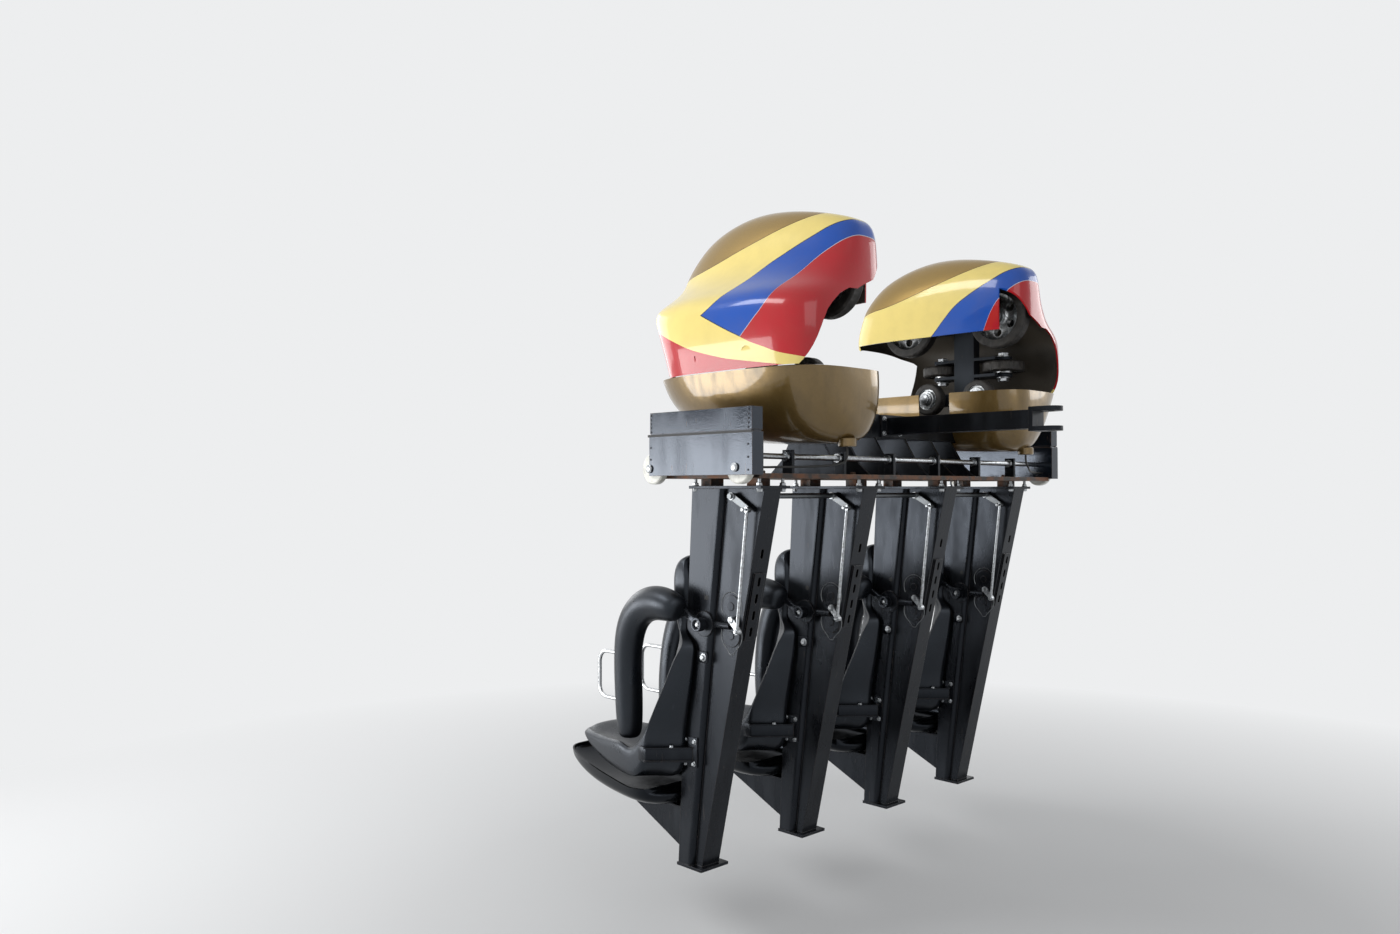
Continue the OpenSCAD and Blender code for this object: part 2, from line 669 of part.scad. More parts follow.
module lock_shaft() {
  reach = box_in_x - seat_gap;
  color("#b8bcc0") {
    bar_x(-reach, lock_y, lock_z, shaft_d, 2 * reach);
    for (x = post_x, s = [-1, 1]) bar_x(x + s * 17 - 8, lock_y, lock_z, 40, 16);
  }
}

// Seats. Each station of a seat is [y, z, turn, half width, wing, depth at the middle, depth at the side]:
// its plane turns from level (0) at the back to upright (90) at the pan, and wing is how far the edges
// stand in front of the middle.

function back_depth(y, z) = front_y(z) - seat_gap - y;
seat_stations = [
  [-262, -925, 40, 0.55 * head_half_w, -6, 22, 22],
  [-312, -945, 22, 0.85 * head_half_w, -14, 70, 68],
  [-338, -1000, 6, head_half_w, -20, 118, 116],
  [-338, -1100, 0, head_half_w, -22, back_depth(-338, -1100), 110],
  [-325, -1200, 0, head_half_w, -24, back_depth(-325, -1200), 90],
  [-312, -1258, 0, head_half_w + 14, -44, back_depth(-312, -1258), 78],
  [-308, -1296, 0, 126, -100, back_depth(-308, -1296), 150],
  [-306, -1420, 0, 165, -50, back_depth(-306, -1420), 156],
  [-314, -1550, 2, seat_half_w - 20, -10, back_depth(-314, -1550), 166],
  [-330, -1680, 6, seat_half_w - 4, 24, back_depth(-330, -1680) - 2, 184],
  [-362, -1772, 40, seat_half_w, 46, 78, 196],
  [-420, -1816, 66, seat_half_w, 50, 76, 92],
  [-500, -1822, 86, seat_half_w - 6, 54, 66, 70],
  [-620, -1800, 97, seat_half_w - 26, 30, 72, 76],
  [-740, -1762, 101, seat_half_w - 52, -10, 78, 80],
  [-820, -1736, 108, seat_half_w - 72, -28, 82, 72],
  [-868, -1748, 126, seat_half_w - 106, -20, 56, 50]];

function seat_ring(s) =
  let (u = [0, -cos(s[2]), sin(s[2])], o = [0, s[0], s[1]], h = s[3], w = s[4], e = min(30, h * 0.3),
    notch = min(h - 14, hanger_w / 2 + 14), half = [
      [0, 0], [0.3 * h, 0.02 * w], [0.62 * h, 0.3 * w], [h - e, 0.92 * w], [h - e * 0.4, w], [h, w - e * 0.6],
      [h, -s[6] + 14], [h - 10, -s[6]], [notch, -s[6]], [notch - 6, -s[5]]])
  [for (p = concat(half, [for (k = [len(half) - 1:-1:1]) [-half[k][0], half[k][1]]]))
    o - p[0] * [1, 0, 0] + p[1] * u];

module seat(i) {
  color("#26282b") translate([seat_x[i], 0, 0]) loft([for (s = seat_stations) seat_ring(s)]);
}

// Tray under the seat: stations [y, rim height, belly height, half width] from the front tip to the hanger
tray_belly = -2013;
tray_stations = [
  [-1000, -1858, -1870, 58],
  [-990, -1859, -1889, 102],
  [-952, -1865, -1914, 140],
  [-880, -1875, -1946, 168],
  [-790, -1887, -1977, 190],
  [-680, -1902, -2000, 206],
  [-560, -1917, tray_belly + 3, 218],
  [-445, -1932, tray_belly, 226],
  [-350, -1926, tray_belly, 228],
  [-270, -1920, tray_belly, 226]];
tray_points = 8;

function tray_arc(s, inset) = [for (k = [-tray_points:tray_points])
  let (a = 90 * k / tray_points, h = s[3] - inset, d = s[1] - s[2] - inset,
    c = pow(abs(sin(a)), 0.8) * sign(a), v = pow(cos(a), 0.55))
  [-h * c, s[0], s[1] - d * v]];

module seat_tray(i) {
  color("#17191b") translate([seat_x[i], 0, 0])
    loft([for (s = tray_stations) concat(
      tray_arc(s, 0), [for (k = [2 * tray_points:-1:0]) tray_arc(s, min(tray_t, s[1] - s[2] - 4))[k]])],
      strip_pairs(4 * tray_points + 2));
}

// Straps beside each seat and the plates that bolt them to the hanger
module seat_brackets() {
  strap_z = -1787;
  strap_h = 66;
  strap_x = seat_half_w + seat_gap;
  color("#1c1e21") for (x = seat_x, s = [-1, 1]) translate([x, 0, 0]) mirrored(s) {
    block([strap_x, -345, strap_z - strap_h / 2], [strap_x + 10, -112, strap_z + strap_h / 2]);
    for (z = [strap_z - strap_h / 2, strap_z + strap_h / 2 - 6])
      block([strap_x, -345, z], [strap_x + 18, -112, z + 6]);
    // Cross plate and its foot on the hanger's side
    for (to = [[strap_x + 18, -118], [hanger_w / 2 + 6, -178]])
      block([hanger_w / 2 + seat_gap, to[1], strap_z - strap_h / 2 - 8],
        [to[0], -106, strap_z + strap_h / 2 + 34]);
  }
}

// Restraint. The pad's route runs from the pivot over the shoulder to the lap; its columns are
// y, z, distance from the middle of the seat, half width and half thickness.
pad_route = [
  [-178, -1214, shoulder_x, 34, 36],
  [-190, -1204, shoulder_x, 47, 52],
  [-216, -1180, shoulder_x, 60, 66],
  [-266, -1146, shoulder_x, 66, 74],
  [-340, -1132, shoulder_x, 66, 76],
  [-424, -1158, shoulder_x, 66, 76],
  [-496, -1228, shoulder_x - 2, 66, 74],
  [-538, -1330, shoulder_x - 10, 65, 70],
  [-549, -1430, leg_x + 8, 64, 67],
  [-549, -1550, leg_x + 2, 63, 65],
  [-546, -1660, leg_x, 61, 62],
  [-544, -1722, leg_x, 55, 56],
  [-544, -1748, leg_x, 38, 40]];
pad_sides = 14;

module harness_pads(i) {
  points = [for (p = pad_route) [p[2], p[0], p[1]]];
  dirs = tube_dirs([for (p = pad_route) [0, p[0], p[1]]]);
  color("#26282b") translate([seat_x[i], 0, 0]) for (s = [-1, 1]) mirrored(s)
    loft([for (k = [0:len(points) - 1])
      tube_ring(points[k], dirs[k], pad_route[k][3], pad_route[k][4], pad_sides)]);
}

// A round tube that bends by a right angle in the plane of y and z
module bend(y, z, r, from) {
  translate([0, y, z]) rotate([90, 0, 90]) rotate([0, 0, from])
    rotate_extrude(angle = 90) translate([r, 0]) circle(d = grip_d);
}

module grip(x) {
  r = 50;
  back = -590;
  front = -758;
  high = -1382;
  low = -1590;
  translate([x, 0, 0]) {
    for (z = [high, low])
      translate([0, back, z]) rotate([90, 0, 0]) cylinder(d = grip_d, h = back - front - r);
    translate([0, front, low + r]) cylinder(d = grip_d, h = high - low - 2 * r);
    bend(front + r, high - r, r, 90);
    bend(front + r, low + r, r, 180);
  }
}

module harness_frame(i) {
  reach = hanger_w / 2 + 13 + 26;
  eye_x = hanger_w / 2 + 13;
  color("#303336") translate([seat_x[i], 0, 0]) {
    bar_x(-reach, pivot_y, pivot_z, pivot_d, 2 * reach);
    for (s = [-1, 1]) mirrored(s) {
      bar_x(eye_x, pivot_y, pivot_z, 52, 24);
      side_plate([
        [pivot_y, pivot_z - 22], [pivot_y, pivot_z + 22], [-168, -1196], [-177, -1206], [-180, -1222],
        [-172, -1226]],
        eye_x + 38, 28);
      side_plate([
        [pivot_y + 4, pivot_z - 20], [pivot_y + 4, pivot_z + 20], [-140, -1186], [-140, -1226]],
        eye_x + 26, 52);
      grip(leg_x);
    }
  }
}

deck_plate();
deck_frame();
cross_beam();
drawbar();
coupling_clevis();
release_shaft();
release_rods();
lock_shaft();
seat_brackets();
carrier();  // carrier_left
mirrored(-1) carrier();  // carrier_right
cover();  // cover_left
mirrored(-1) cover();  // cover_right
dome();  // dome_left
mirrored(-1) dome();  // dome_right
guide_box();  // guide_box_left
mirrored(-1) guide_box();  // guide_box_right
cable();  // cable_left
mirrored(-1) cable();  // cable_right
for (i = [0:3]) {
  hanger(i);
  seat(i);
  seat_tray(i);
  harness_pads(i);
  harness_frame(i);
}
for (side = [-1, 1], end = [-1, 1]) {
  tag = str(end < 0 ? "f" : "r", side > 0 ? "l" : "r");
  running_wheel(side, end);
  side_wheel(side, end);
  upstop_wheel(side, end);
  guide_roller(side, end);
}
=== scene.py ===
"""Looks of the car of an inverted roller coaster, built in Blender around its CAD frame."""

import math

import bmesh
import bpy
from mathutils import Matrix, Vector


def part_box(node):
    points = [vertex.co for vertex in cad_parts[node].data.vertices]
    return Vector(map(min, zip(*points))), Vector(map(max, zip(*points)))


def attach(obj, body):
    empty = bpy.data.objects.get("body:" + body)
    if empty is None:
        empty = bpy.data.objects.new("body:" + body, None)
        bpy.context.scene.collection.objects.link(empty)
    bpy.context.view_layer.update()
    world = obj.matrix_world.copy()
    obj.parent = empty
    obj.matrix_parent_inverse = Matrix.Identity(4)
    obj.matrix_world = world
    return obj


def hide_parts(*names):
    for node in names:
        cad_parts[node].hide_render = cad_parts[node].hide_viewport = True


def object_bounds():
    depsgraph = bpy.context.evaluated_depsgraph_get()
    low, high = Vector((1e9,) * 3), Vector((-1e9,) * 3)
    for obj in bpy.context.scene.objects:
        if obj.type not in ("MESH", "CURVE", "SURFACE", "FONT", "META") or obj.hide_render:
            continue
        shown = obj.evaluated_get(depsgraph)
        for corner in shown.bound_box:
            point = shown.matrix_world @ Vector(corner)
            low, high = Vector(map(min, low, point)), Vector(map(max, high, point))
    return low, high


bl_info = {
    "name": "Inverted coaster car",
    "version": (1, 0, 0),
    "blender": (4, 5, 0),
    "location": "View3D > Sidebar > Coaster car",
    "description": "Adds the looks of an inverted roller coaster car to its CAD frame",
    "category": "Object",
}

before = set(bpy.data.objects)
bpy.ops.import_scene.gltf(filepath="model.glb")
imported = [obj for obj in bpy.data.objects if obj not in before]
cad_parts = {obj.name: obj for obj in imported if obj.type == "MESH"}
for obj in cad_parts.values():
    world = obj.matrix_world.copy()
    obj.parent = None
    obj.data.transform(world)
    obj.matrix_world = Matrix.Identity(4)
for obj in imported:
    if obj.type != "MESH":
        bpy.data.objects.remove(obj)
cad_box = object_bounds()

SEATS = (1, 2, 3, 4)
SIDES = {"left": 1, "right": -1}
CORNERS = ("fl", "rl", "fr", "rr")
# Middle of a rail across the car, and of the wheels along it
RAIL_X = 0.68
WHEELS_Y = -0.01
# Axis of the restraints' pivot shafts (y, z)
PIVOT = (-0.115, -1.210)
# Colour of the studio behind and around the car
BACKDROP = "#EDEEEF"


def linear(hex_colour):
    """An sRGB hex value as the linear colour that Blender's sockets take."""
    channels = [int(hex_colour[start:start + 2], 16) / 255 for start in (1, 3, 5)]
    return tuple(c / 12.92 if c <= 0.04045 else ((c + 0.055) / 1.055) ** 2.4 for c in channels) + (1.0,)


def middle_x(seat):
    """The middle of a seat across the car."""
    low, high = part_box(f"hanger_{seat}")
    return (low.x + high.x) / 2


def colour_property(name, description, hex_colour):
    """A colour that a user may change."""
    return bpy.props.FloatVectorProperty(
        name=name, description=description, subtype="COLOR", size=4, min=0, max=1,
        default=linear(hex_colour))


def length_property(name, description, metres):
    """A length that a user may change."""
    return bpy.props.FloatProperty(
        name=name, description=description, subtype="DISTANCE", unit="LENGTH", min=0, default=metres)


class CoasterCarColours(bpy.types.PropertyGroup):
    """The car's paints"""
    # The domes don't take this colour: their gold is a darker one, painted as the beam's shade
    gold: colour_property("Gold", "Paint of the cover's crest and of the domes", "#A3864A")
    yellow: colour_property("Yellow", "Paint of the cover's flank", "#F5DF86")
    blue: colour_property("Blue", "Paint of the cover's arrow", "#1452B4")
    red: colour_property("Red", "Paint of the cover's tail and skirt", "#BE1F28")
    black: colour_property("Black", "Paint of the steel structure", "#0A0B0E")
    foam: colour_property("Foam", "Skin of the moulded foam", "#0B0C0F")
    floor: colour_property("Floor", "The studio's floor", "#D9DADB")


class CoasterCarSizes(bpy.types.PropertyGroup):
    """Sizes of the added details"""
    pinstripe: length_property("Pinstripe", "Width of the dark line around the blue arrow", 0.004)
    floor_drop: length_property("Floor drop", "Height of the hangers' feet above the floor", 0.42)
    lens: bpy.props.FloatProperty(
        name="Lens", description="Focal length on a 36 mm wide frame", subtype="DISTANCE_CAMERA",
        unit="CAMERA", min=1, default=27.5)


def colours():
    """The paints as the panel has them."""
    return bpy.context.scene.coaster_car_colours


def sizes():
    """The sizes as the panel has them."""
    return bpy.context.scene.coaster_car_sizes


# Modelling helpers


def deselect():
    """Leaves nothing selected."""
    bpy.ops.object.select_all(action="DESELECT")


def activate(*pieces):
    """Selects these pieces alone, the first one active."""
    deselect()
    for piece in pieces:
        piece.select_set(True)
    bpy.context.view_layer.objects.active = pieces[0]


def settle(piece, name, material, body, slot, *replaced):
    """Gives a piece its name and a finish, or leaves it its own ones, puts its place into its mesh and lets
    it ride on a body."""
    activate(piece)
    bpy.ops.object.transform_apply(location=True, rotation=True, scale=True)
    piece.name = name
    piece.data.name = name
    if material is not None:
        piece.data.materials.clear()
        piece.data.materials.append(finish(material))
    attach(piece, body)
    if replaced:
        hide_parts(*replaced)
    return piece


def joined(pieces):
    """Several pieces as one, with the material slots of all."""
    activate(*pieces)
    if len(pieces) > 1:
        bpy.ops.object.join()
    return bpy.context.object


def copy_of(piece):
    """A copy of a piece with its own mesh."""
    activate(piece)
    bpy.ops.object.duplicate()
    return bpy.context.object


def node_copy(node):
    """A copy of a CAD node that can be shaped, its loose triangles merged."""
    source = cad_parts[node]
    source.hide_viewport = False
    piece = copy_of(source)
    for key in list(piece.keys()):
        del piece[key]
    piece.parent = None
    bpy.ops.object.mode_set(mode="EDIT")
    bpy.ops.mesh.select_all(action="SELECT")
    bpy.ops.mesh.remove_doubles(threshold=0.0002)
    bpy.ops.mesh.tris_convert_to_quads(face_threshold=math.radians(60), shape_threshold=math.radians(70))
    bpy.ops.object.mode_set(mode="OBJECT")
    return piece


def smoothed(piece):
    """A piece rounded by subdivision."""
    activate(piece)
    modifier = piece.modifiers.new("Rounding", "SUBSURF")
    modifier.levels = 2
    modifier.render_levels = 2
    bpy.ops.object.modifier_apply(modifier=modifier.name)
    bpy.ops.object.shade_smooth()
    return piece


def axis_turn(axis):
    """The rotation that lays a primitive's own Z axis along an axis."""
    return Vector((0, 0, 1)).rotation_difference(Vector(axis)).to_euler()


def turned(place, axis, radius, length, steps=(), sides=48, bevel=0.0):
    """A round piece along an axis, both ends stepped inwards: each step is a radius and a rise."""
    deselect()
    bpy.ops.mesh.primitive_cylinder_add(vertices=sides, radius=radius, depth=length)
    piece = bpy.context.object
    bpy.ops.object.mode_set(mode="EDIT")
    for end in (-1, 1):
        at = radius
        height = 0.0
        for step_radius, step_height in steps:
            mesh = bmesh.from_edit_mesh(piece.data)
            caps = [f for f in mesh.faces if len(f.verts) == sides and f.normal.z * end > 0.9]
            for face in mesh.faces:
                face.select = False
            for face in caps:
                face.select = True
            bmesh.update_edit_mesh(piece.data)
            bpy.ops.mesh.inset(thickness=max(1e-5, (at - step_radius) * math.cos(math.pi / sides)))
            bpy.ops.transform.translate(value=(0, 0, end * (step_height - height)))
            at = step_radius
            height = step_height
    bpy.ops.mesh.select_all(action="SELECT")
    bpy.ops.object.mode_set(mode="OBJECT")
    if bevel:
        bevelled(piece, bevel)
    piece.rotation_euler = axis_turn(axis)
    piece.location = place
    bpy.ops.object.transform_apply(location=True, rotation=True, scale=True)
    bpy.ops.object.shade_smooth_by_angle(angle=math.radians(35))
    return piece


def bevelled(piece, width):
    """A piece with its sharp edges broken."""
    modifier = piece.modifiers.new("Edges", "BEVEL")
    modifier.width = width
    modifier.segments = 2
    modifier.limit_method = "ANGLE"
    activate(piece)
    bpy.ops.object.modifier_apply(modifier=modifier.name)
    return piece


def slab(outline, axis, start, end, bevel=0.0):
    """A plate whose outline lies across an axis (0 for X, 1 for Y, 2 for Z), from start to end along it."""
    deselect()
    bpy.ops.mesh.primitive_circle_add(vertices=len(outline), fill_type="NGON")
    piece = bpy.context.object
    for vertex, point in zip(piece.data.vertices, outline):
        place = list(point)
        place.insert(axis, start)
        vertex.co = place
    offset = [0.0, 0.0, 0.0]
    offset[axis] = end - start
    bpy.ops.object.mode_set(mode="EDIT")
    bpy.ops.mesh.select_all(action="SELECT")
    bpy.ops.mesh.extrude_region_move(TRANSFORM_OT_translate={"value": offset})
    bpy.ops.mesh.select_all(action="SELECT")
    bpy.ops.mesh.normals_make_consistent(inside=False)
    bpy.ops.object.mode_set(mode="OBJECT")
    if bevel:
        bevelled(piece, bevel)
    bpy.ops.object.shade_smooth_by_angle(angle=math.radians(35))
    return piece


def arc(centre, radius, start, end, step):
    """Points round a centre from one angle to another, in degrees."""
    turn = range(start, end + (1 if step > 0 else -1), step)
    return [(centre[0] + radius * math.cos(math.radians(a)), centre[1] + radius * math.sin(math.radians(a)))
            for a in turn]


def cut(piece, *tools):
    """Takes closed shapes away from a piece."""
    for tool in tools:
        modifier = piece.modifiers.new("Cut", "BOOLEAN")
        modifier.operation = "DIFFERENCE"
        modifier.solver = "EXACT"
        modifier.object = tool
        activate(piece)
        bpy.ops.object.modifier_apply(modifier=modifier.name)
        activate(tool)
        bpy.ops.object.delete()
    activate(piece)
    return piece


def bolts(places, axis, width, height, washer=1.0):
    """Hexagonal bolt heads on washers, all along one axis and joined."""
    direction = Vector(axis).normalized()
    pieces = []
    for place in places:
        foot = Vector(place)
        pieces.append(turned(foot + direction * height * 0.1, axis, width * washer * 0.66, height * 0.2,
                             ((width * washer * 0.6, height * 0.06),), 24))
        pieces.append(turned(foot + direction * height * 0.6, axis, width * 0.577, height * 0.8,
                             ((width * 0.5, 0.0), (width * 0.42, height * 0.12)), 6))
    return joined(pieces)


def round_path(points, steps):
    """A smooth path through points, with steps to each stretch."""
    path = []
    for k in range(len(points) - 1):
        before = points[max(k - 1, 0)]
        start, end = points[k], points[k + 1]
        after = points[min(k + 2, len(points) - 1)]
        for step in range(steps):
            t = step / steps
            path.append(0.5 * (
                2 * start + (end - before) * t + (2 * before - 5 * start + 4 * end - after) * t ** 2
                + (3 * start - before - 3 * end + after) * t ** 3))
    path.append(points[-1])
    return path


def wire(points, radius, sides=12):
    """A round wire, rod or tube along points, as a closed mesh."""
    deselect()
    bpy.ops.curve.primitive_nurbs_path_add(location=(0, 0, 0))
    piece = bpy.context.object
    curve = piece.data
    curve.splines.clear()
    spline = curve.splines.new("POLY")
    spline.points.add(len(points) - 1)
    for slot, point in zip(spline.points, points):
        slot.co = (*point, 1)
    curve.bevel_depth = radius
    curve.bevel_resolution = sides // 4 - 1
    curve.use_fill_caps = True
    bpy.ops.object.convert(target="MESH")
    bpy.ops.object.shade_smooth_by_angle(angle=math.radians(50))
    return bpy.context.object


def lofted(rings, crease=None, closed=True):
    """A skin through rings of points in millimetres, with both ends filled. The columns in crease keep a
    firmer edge under subdivision, and a skin that isn't closed stays open along its length."""
    mesh = bmesh.new()
    rows = [[mesh.verts.new(Vector(point) / 1000) for point in ring] for ring in rings]
    count = len(rows[0])
    firm = mesh.edges.layers.float.new("crease_edge")
    for low, high in zip(rows, rows[1:]):
        for j in range(count if closed else count - 1):
            k = (j + 1) % count
            face = mesh.faces.new((low[j], low[k], high[k], high[j]))
            if crease and j in crease:
                for edge in face.edges:
                    if set(edge.verts) == {low[j], high[j]}:
                        edge[firm] = crease[j]
    mesh.faces.new(rows[0])
    mesh.faces.new(rows[-1])
    bmesh.ops.recalc_face_normals(mesh, faces=mesh.faces)
    deselect()
    bpy.ops.mesh.primitive_plane_add()
    piece = bpy.context.object
    mesh.to_mesh(piece.data)
    mesh.free()
    return piece


# Material helpers


def add_node(material, kind, inputs=(), output=None, **settings):
    """Adds a shader node with its settings and sets or links its inputs, by name or in their order. Gives one
    of its outputs: the named one, or else the first that is in use."""
    node = material.node_tree.nodes.new("ShaderNode" + kind)
    for name, value in settings.items():
        setattr(node, name, value)
    for key, value in inputs.items() if isinstance(inputs, dict) else enumerate(inputs):
        if isinstance(value, bpy.types.NodeSocket):
            material.node_tree.links.new(value, node.inputs[key])
        else:
            node.inputs[key].default_value = value
    return node.outputs[output] if output else next(socket for socket in node.outputs if socket.enabled)


def new_material(name):
    """A material with its main shader, whose sockets the finishes set."""
    material = bpy.data.materials.new(name)
    material.use_nodes = True
    return material, material.node_tree.nodes["Principled BSDF"]


def link(material, output, socket):
    """Leads a node's output to a socket."""
    material.node_tree.links.new(output, socket)


def seen_ray(material):
    """1 for a ray that shows the backdrop, straight or in metal and glass, and 0 for one that lights."""
    ray = add_node(material, "LightPath").node.outputs
    mirrored = add_node(material, "Math", [ray["Is Glossy Ray"], ray["Is Transmission Ray"]],
                        operation="MAXIMUM")
    return add_node(material, "Math", [ray["Is Camera Ray"], mirrored], operation="MAXIMUM")


def grain(material, size, detail=3.0, stretch=(1, 1, 1)):
    """Noise with features of about a size in metres, drawn out along an axis by stretch."""
    place = add_node(material, "TexCoord", output="Object")
    place = add_node(material, "Mapping", {"Vector": place, "Scale": [1 / s for s in stretch]})
    return add_node(material, "TexNoise", {
        "Vector": place, "Scale": 1 / size, "Detail": detail, "Roughness": 0.55})


def relief(material, shader, height, depth, edge_radius=None):
    """Relief of a depth in metres, on a surface whose edges may be broken by a small radius."""
    inputs = {"Height": height, "Distance": depth, "Strength": 1.0}
    if edge_radius:
        inputs["Normal"] = add_node(material, "Bevel", {"Radius": edge_radius}, samples=6)
    link(material, add_node(material, "Bump", inputs), shader.inputs["Normal"])


def worn_edges(material):
    """Where edges stand out: 1 on a worn edge and 0 on a flat face."""
    rounded = add_node(material, "Bevel", {"Radius": 0.004}, samples=6)
    flat = add_node(material, "NewGeometry", output="Normal")
    alike = add_node(material, "VectorMath", [rounded, flat], operation="DOT_PRODUCT")
    turned_away = add_node(material, "Math", [1.0, alike], operation="SUBTRACT")
    patchy = add_node(material, "Math", [turned_away, grain(material, 0.03, 5.0)], operation="MULTIPLY")
    return add_node(material, "MapRange", [patchy, 0.02, 0.3])


# Finishes


def painted_steel(name, colour, gloss=0.34, edge_wear_and_highlight=0.5, bare="#5C5148", specular=0.28):
    """Machine paint on welded steel: a wet-looking skin over slight orange peel, rubbed to grey-brown metal
    along its edges, with thin scratches and dust that dull it in streaks."""
    material, shader = new_material(name)
    scratches = add_node(material, "MapRange", [grain(material, 0.012, 2.0, (1, 1, 9)), 0.69, 0.72])
    streaks = add_node(material, "MapRange", [grain(material, 0.09, 6.0, (1, 1, 4)), 0.46, 0.72])
    # Pale worn edges; on the restraints' arms they also stand for a painted highlight
    wear = add_node(material, "Math", [worn_edges(material), edge_wear_and_highlight], operation="MULTIPLY")
    faint = add_node(material, "Math", [scratches, 0.22], operation="MULTIPLY")
    metal = add_node(material, "Math", [wear, faint], operation="MAXIMUM")
    dust = add_node(material, "Math", [streaks, 0.05], operation="MULTIPLY")
    paint = add_node(material, "Mix", {"Factor": dust, "A": colour, "B": linear("#6F757C")}, data_type="RGBA")
    worn = add_node(material, "Mix", {"Factor": metal, "A": paint, "B": linear(bare)}, data_type="RGBA")
    link(material, worn, shader.inputs["Base Color"])
    dulled = add_node(material, "Math", [streaks, 0.2, gloss], operation="MULTIPLY_ADD")
    rough = add_node(material, "Math", [metal, 0.2, dulled], operation="MULTIPLY_ADD")
    link(material, rough, shader.inputs["Roughness"])
    shader.inputs["Specular IOR Level"].default_value = specular
    shader.inputs["Specular Tint"].default_value = linear("#DCE8FA")
    # Orange peel, a few millimetres from crest to crest
    relief(material, shader, grain(material, 0.006, 2.0), 0.00025, 0.003)
    return material


def moulded_foam(name):
    """Integral-skin polyurethane foam, moulded: a satin black skin with a fine leather grain, bluish where it
    catches light, polished by hands and crossed by shallow creases, which are darkened as painted shade."""
    material, shader = new_material(name)
    rubbed = add_node(material, "MapRange", [grain(material, 0.12, 4.0), 0.42, 0.66])
    place = add_node(material, "TexCoord", output="Object")
    cells = add_node(material, "TexVoronoi", {"Vector": place, "Scale": 14.0, "Randomness": 1.0},
                     feature="DISTANCE_TO_EDGE")
    lines = add_node(material, "MapRange", [cells, 0.0, 0.03, 1.0, 0.0])
    here = add_node(material, "MapRange", [grain(material, 0.2, 2.0), 0.5, 0.62])
    crease = add_node(material, "Math", [lines, here], operation="MULTIPLY")
    scuffs = add_node(material, "MapRange", [grain(material, 0.05, 3.0, (1, 4, 4)), 0.68, 0.74])
    scuffs = add_node(material, "Math", [scuffs, 0.12], operation="MULTIPLY")
    # Painted shade: the creases' lines darker than the skin round them
    dark = add_node(material, "Math", [crease, 0.4], operation="MULTIPLY")
    colour = colours().foam
    for share, other in ((rubbed, "#0F1216"), (scuffs, "#5A626C"), (dark, "#060607")):
        colour = add_node(material, "Mix", {"Factor": share, "A": colour, "B": linear(other)},
                          data_type="RGBA")
    link(material, colour, shader.inputs["Base Color"])
    link(material, add_node(material, "MapRange", [rubbed, 0.0, 1.0, 0.4, 0.26]), shader.inputs["Roughness"])
    shader.inputs["Specular IOR Level"].default_value = 0.6
    shader.inputs["Specular Tint"].default_value = linear("#D4DFEE")
    # Skin grain of about 1.5 mm, with the creases cut a little deeper
    skin = add_node(material, "Math", [crease, -0.6, grain(material, 0.0016, 2.0)], operation="MULTIPLY_ADD")
    relief(material, shader, skin, 0.0003)
    return material


def formed_plastic(name):
    """Thermoformed ABS: glossy black, with fine wiping scratches and faint dust in patches."""
    material, shader = new_material(name)
    haze = add_node(material, "MapRange", [grain(material, 0.05, 6.0), 0.45, 0.75])
    dust = add_node(material, "Math", [haze, 0.02], operation="MULTIPLY")
    colour = add_node(material, "Mix", {"Factor": dust, "A": linear("#050607"), "B": linear("#4A4E52")},
                      data_type="RGBA")
    link(material, colour, shader.inputs["Base Color"])
    rough = add_node(material, "Math", [haze, 0.1, 0.16], operation="MULTIPLY_ADD")
    link(material, rough, shader.inputs["Roughness"])
    shader.inputs["Specular IOR Level"].default_value = 0.3
    shader.inputs["Specular Tint"].default_value = linear("#D6E2F4")
    relief(material, shader, grain(material, 0.03, 2.0), 0.0003)
    return material


# Lines of the cover's paint in side view: points (y, z) in metres from PAINT_FRONT to PAINT_REAR
PAINT_FRONT = -0.62
PAINT_REAR = 0.62
GOLD_LINE = [
    (PAINT_FRONT, 0.29), (-0.55, 0.305), (-0.45, 0.325), (-0.35, 0.337), (-0.25, 0.357), (-0.1, 0.398),
    (0.0, 0.425), (0.1, 0.453), (0.2, 0.48), (0.3, 0.505), (PAINT_REAR, 0.575)]
ARROW_TOP = [
    (PAINT_FRONT, -0.23), (-0.13, 0.09), (-0.075, 0.125), (-0.03, 0.165), (0.03, 0.228), (0.1, 0.295),
    (0.17, 0.338), (0.24, 0.375), (0.3, 0.405), (0.36, 0.438), (0.42, 0.462), (PAINT_REAR, 0.52)]
ARROW_LOW = [
    (PAINT_FRONT, 0.34), (-0.13, 0.09), (-0.045, 0.047), (0.03, 0.01), (0.1, -0.022), (0.16, -0.05),
    (0.225, -0.074), (0.28, -0.096), (0.34, -0.112), (PAINT_REAR, -0.17)]
TAIL_LINE = [
    (PAINT_FRONT, -0.6), (0.1, -0.022), (0.165, 0.035), (0.222, 0.09), (0.252, 0.135), (0.276, 0.19),
    (0.302, 0.247), (0.336, 0.3), (0.385, 0.346), (0.44, 0.386), (PAINT_REAR, 0.49)]
SKIRT_LINE = [
    (PAINT_FRONT, 0.13), (-0.5, 0.085), (-0.44, 0.055), (-0.38, 0.027), (-0.31, -0.002), (-0.2, -0.046),
    (-0.1, -0.075), (0.0, -0.1), (0.084, -0.115), (PAINT_REAR, -0.195)]


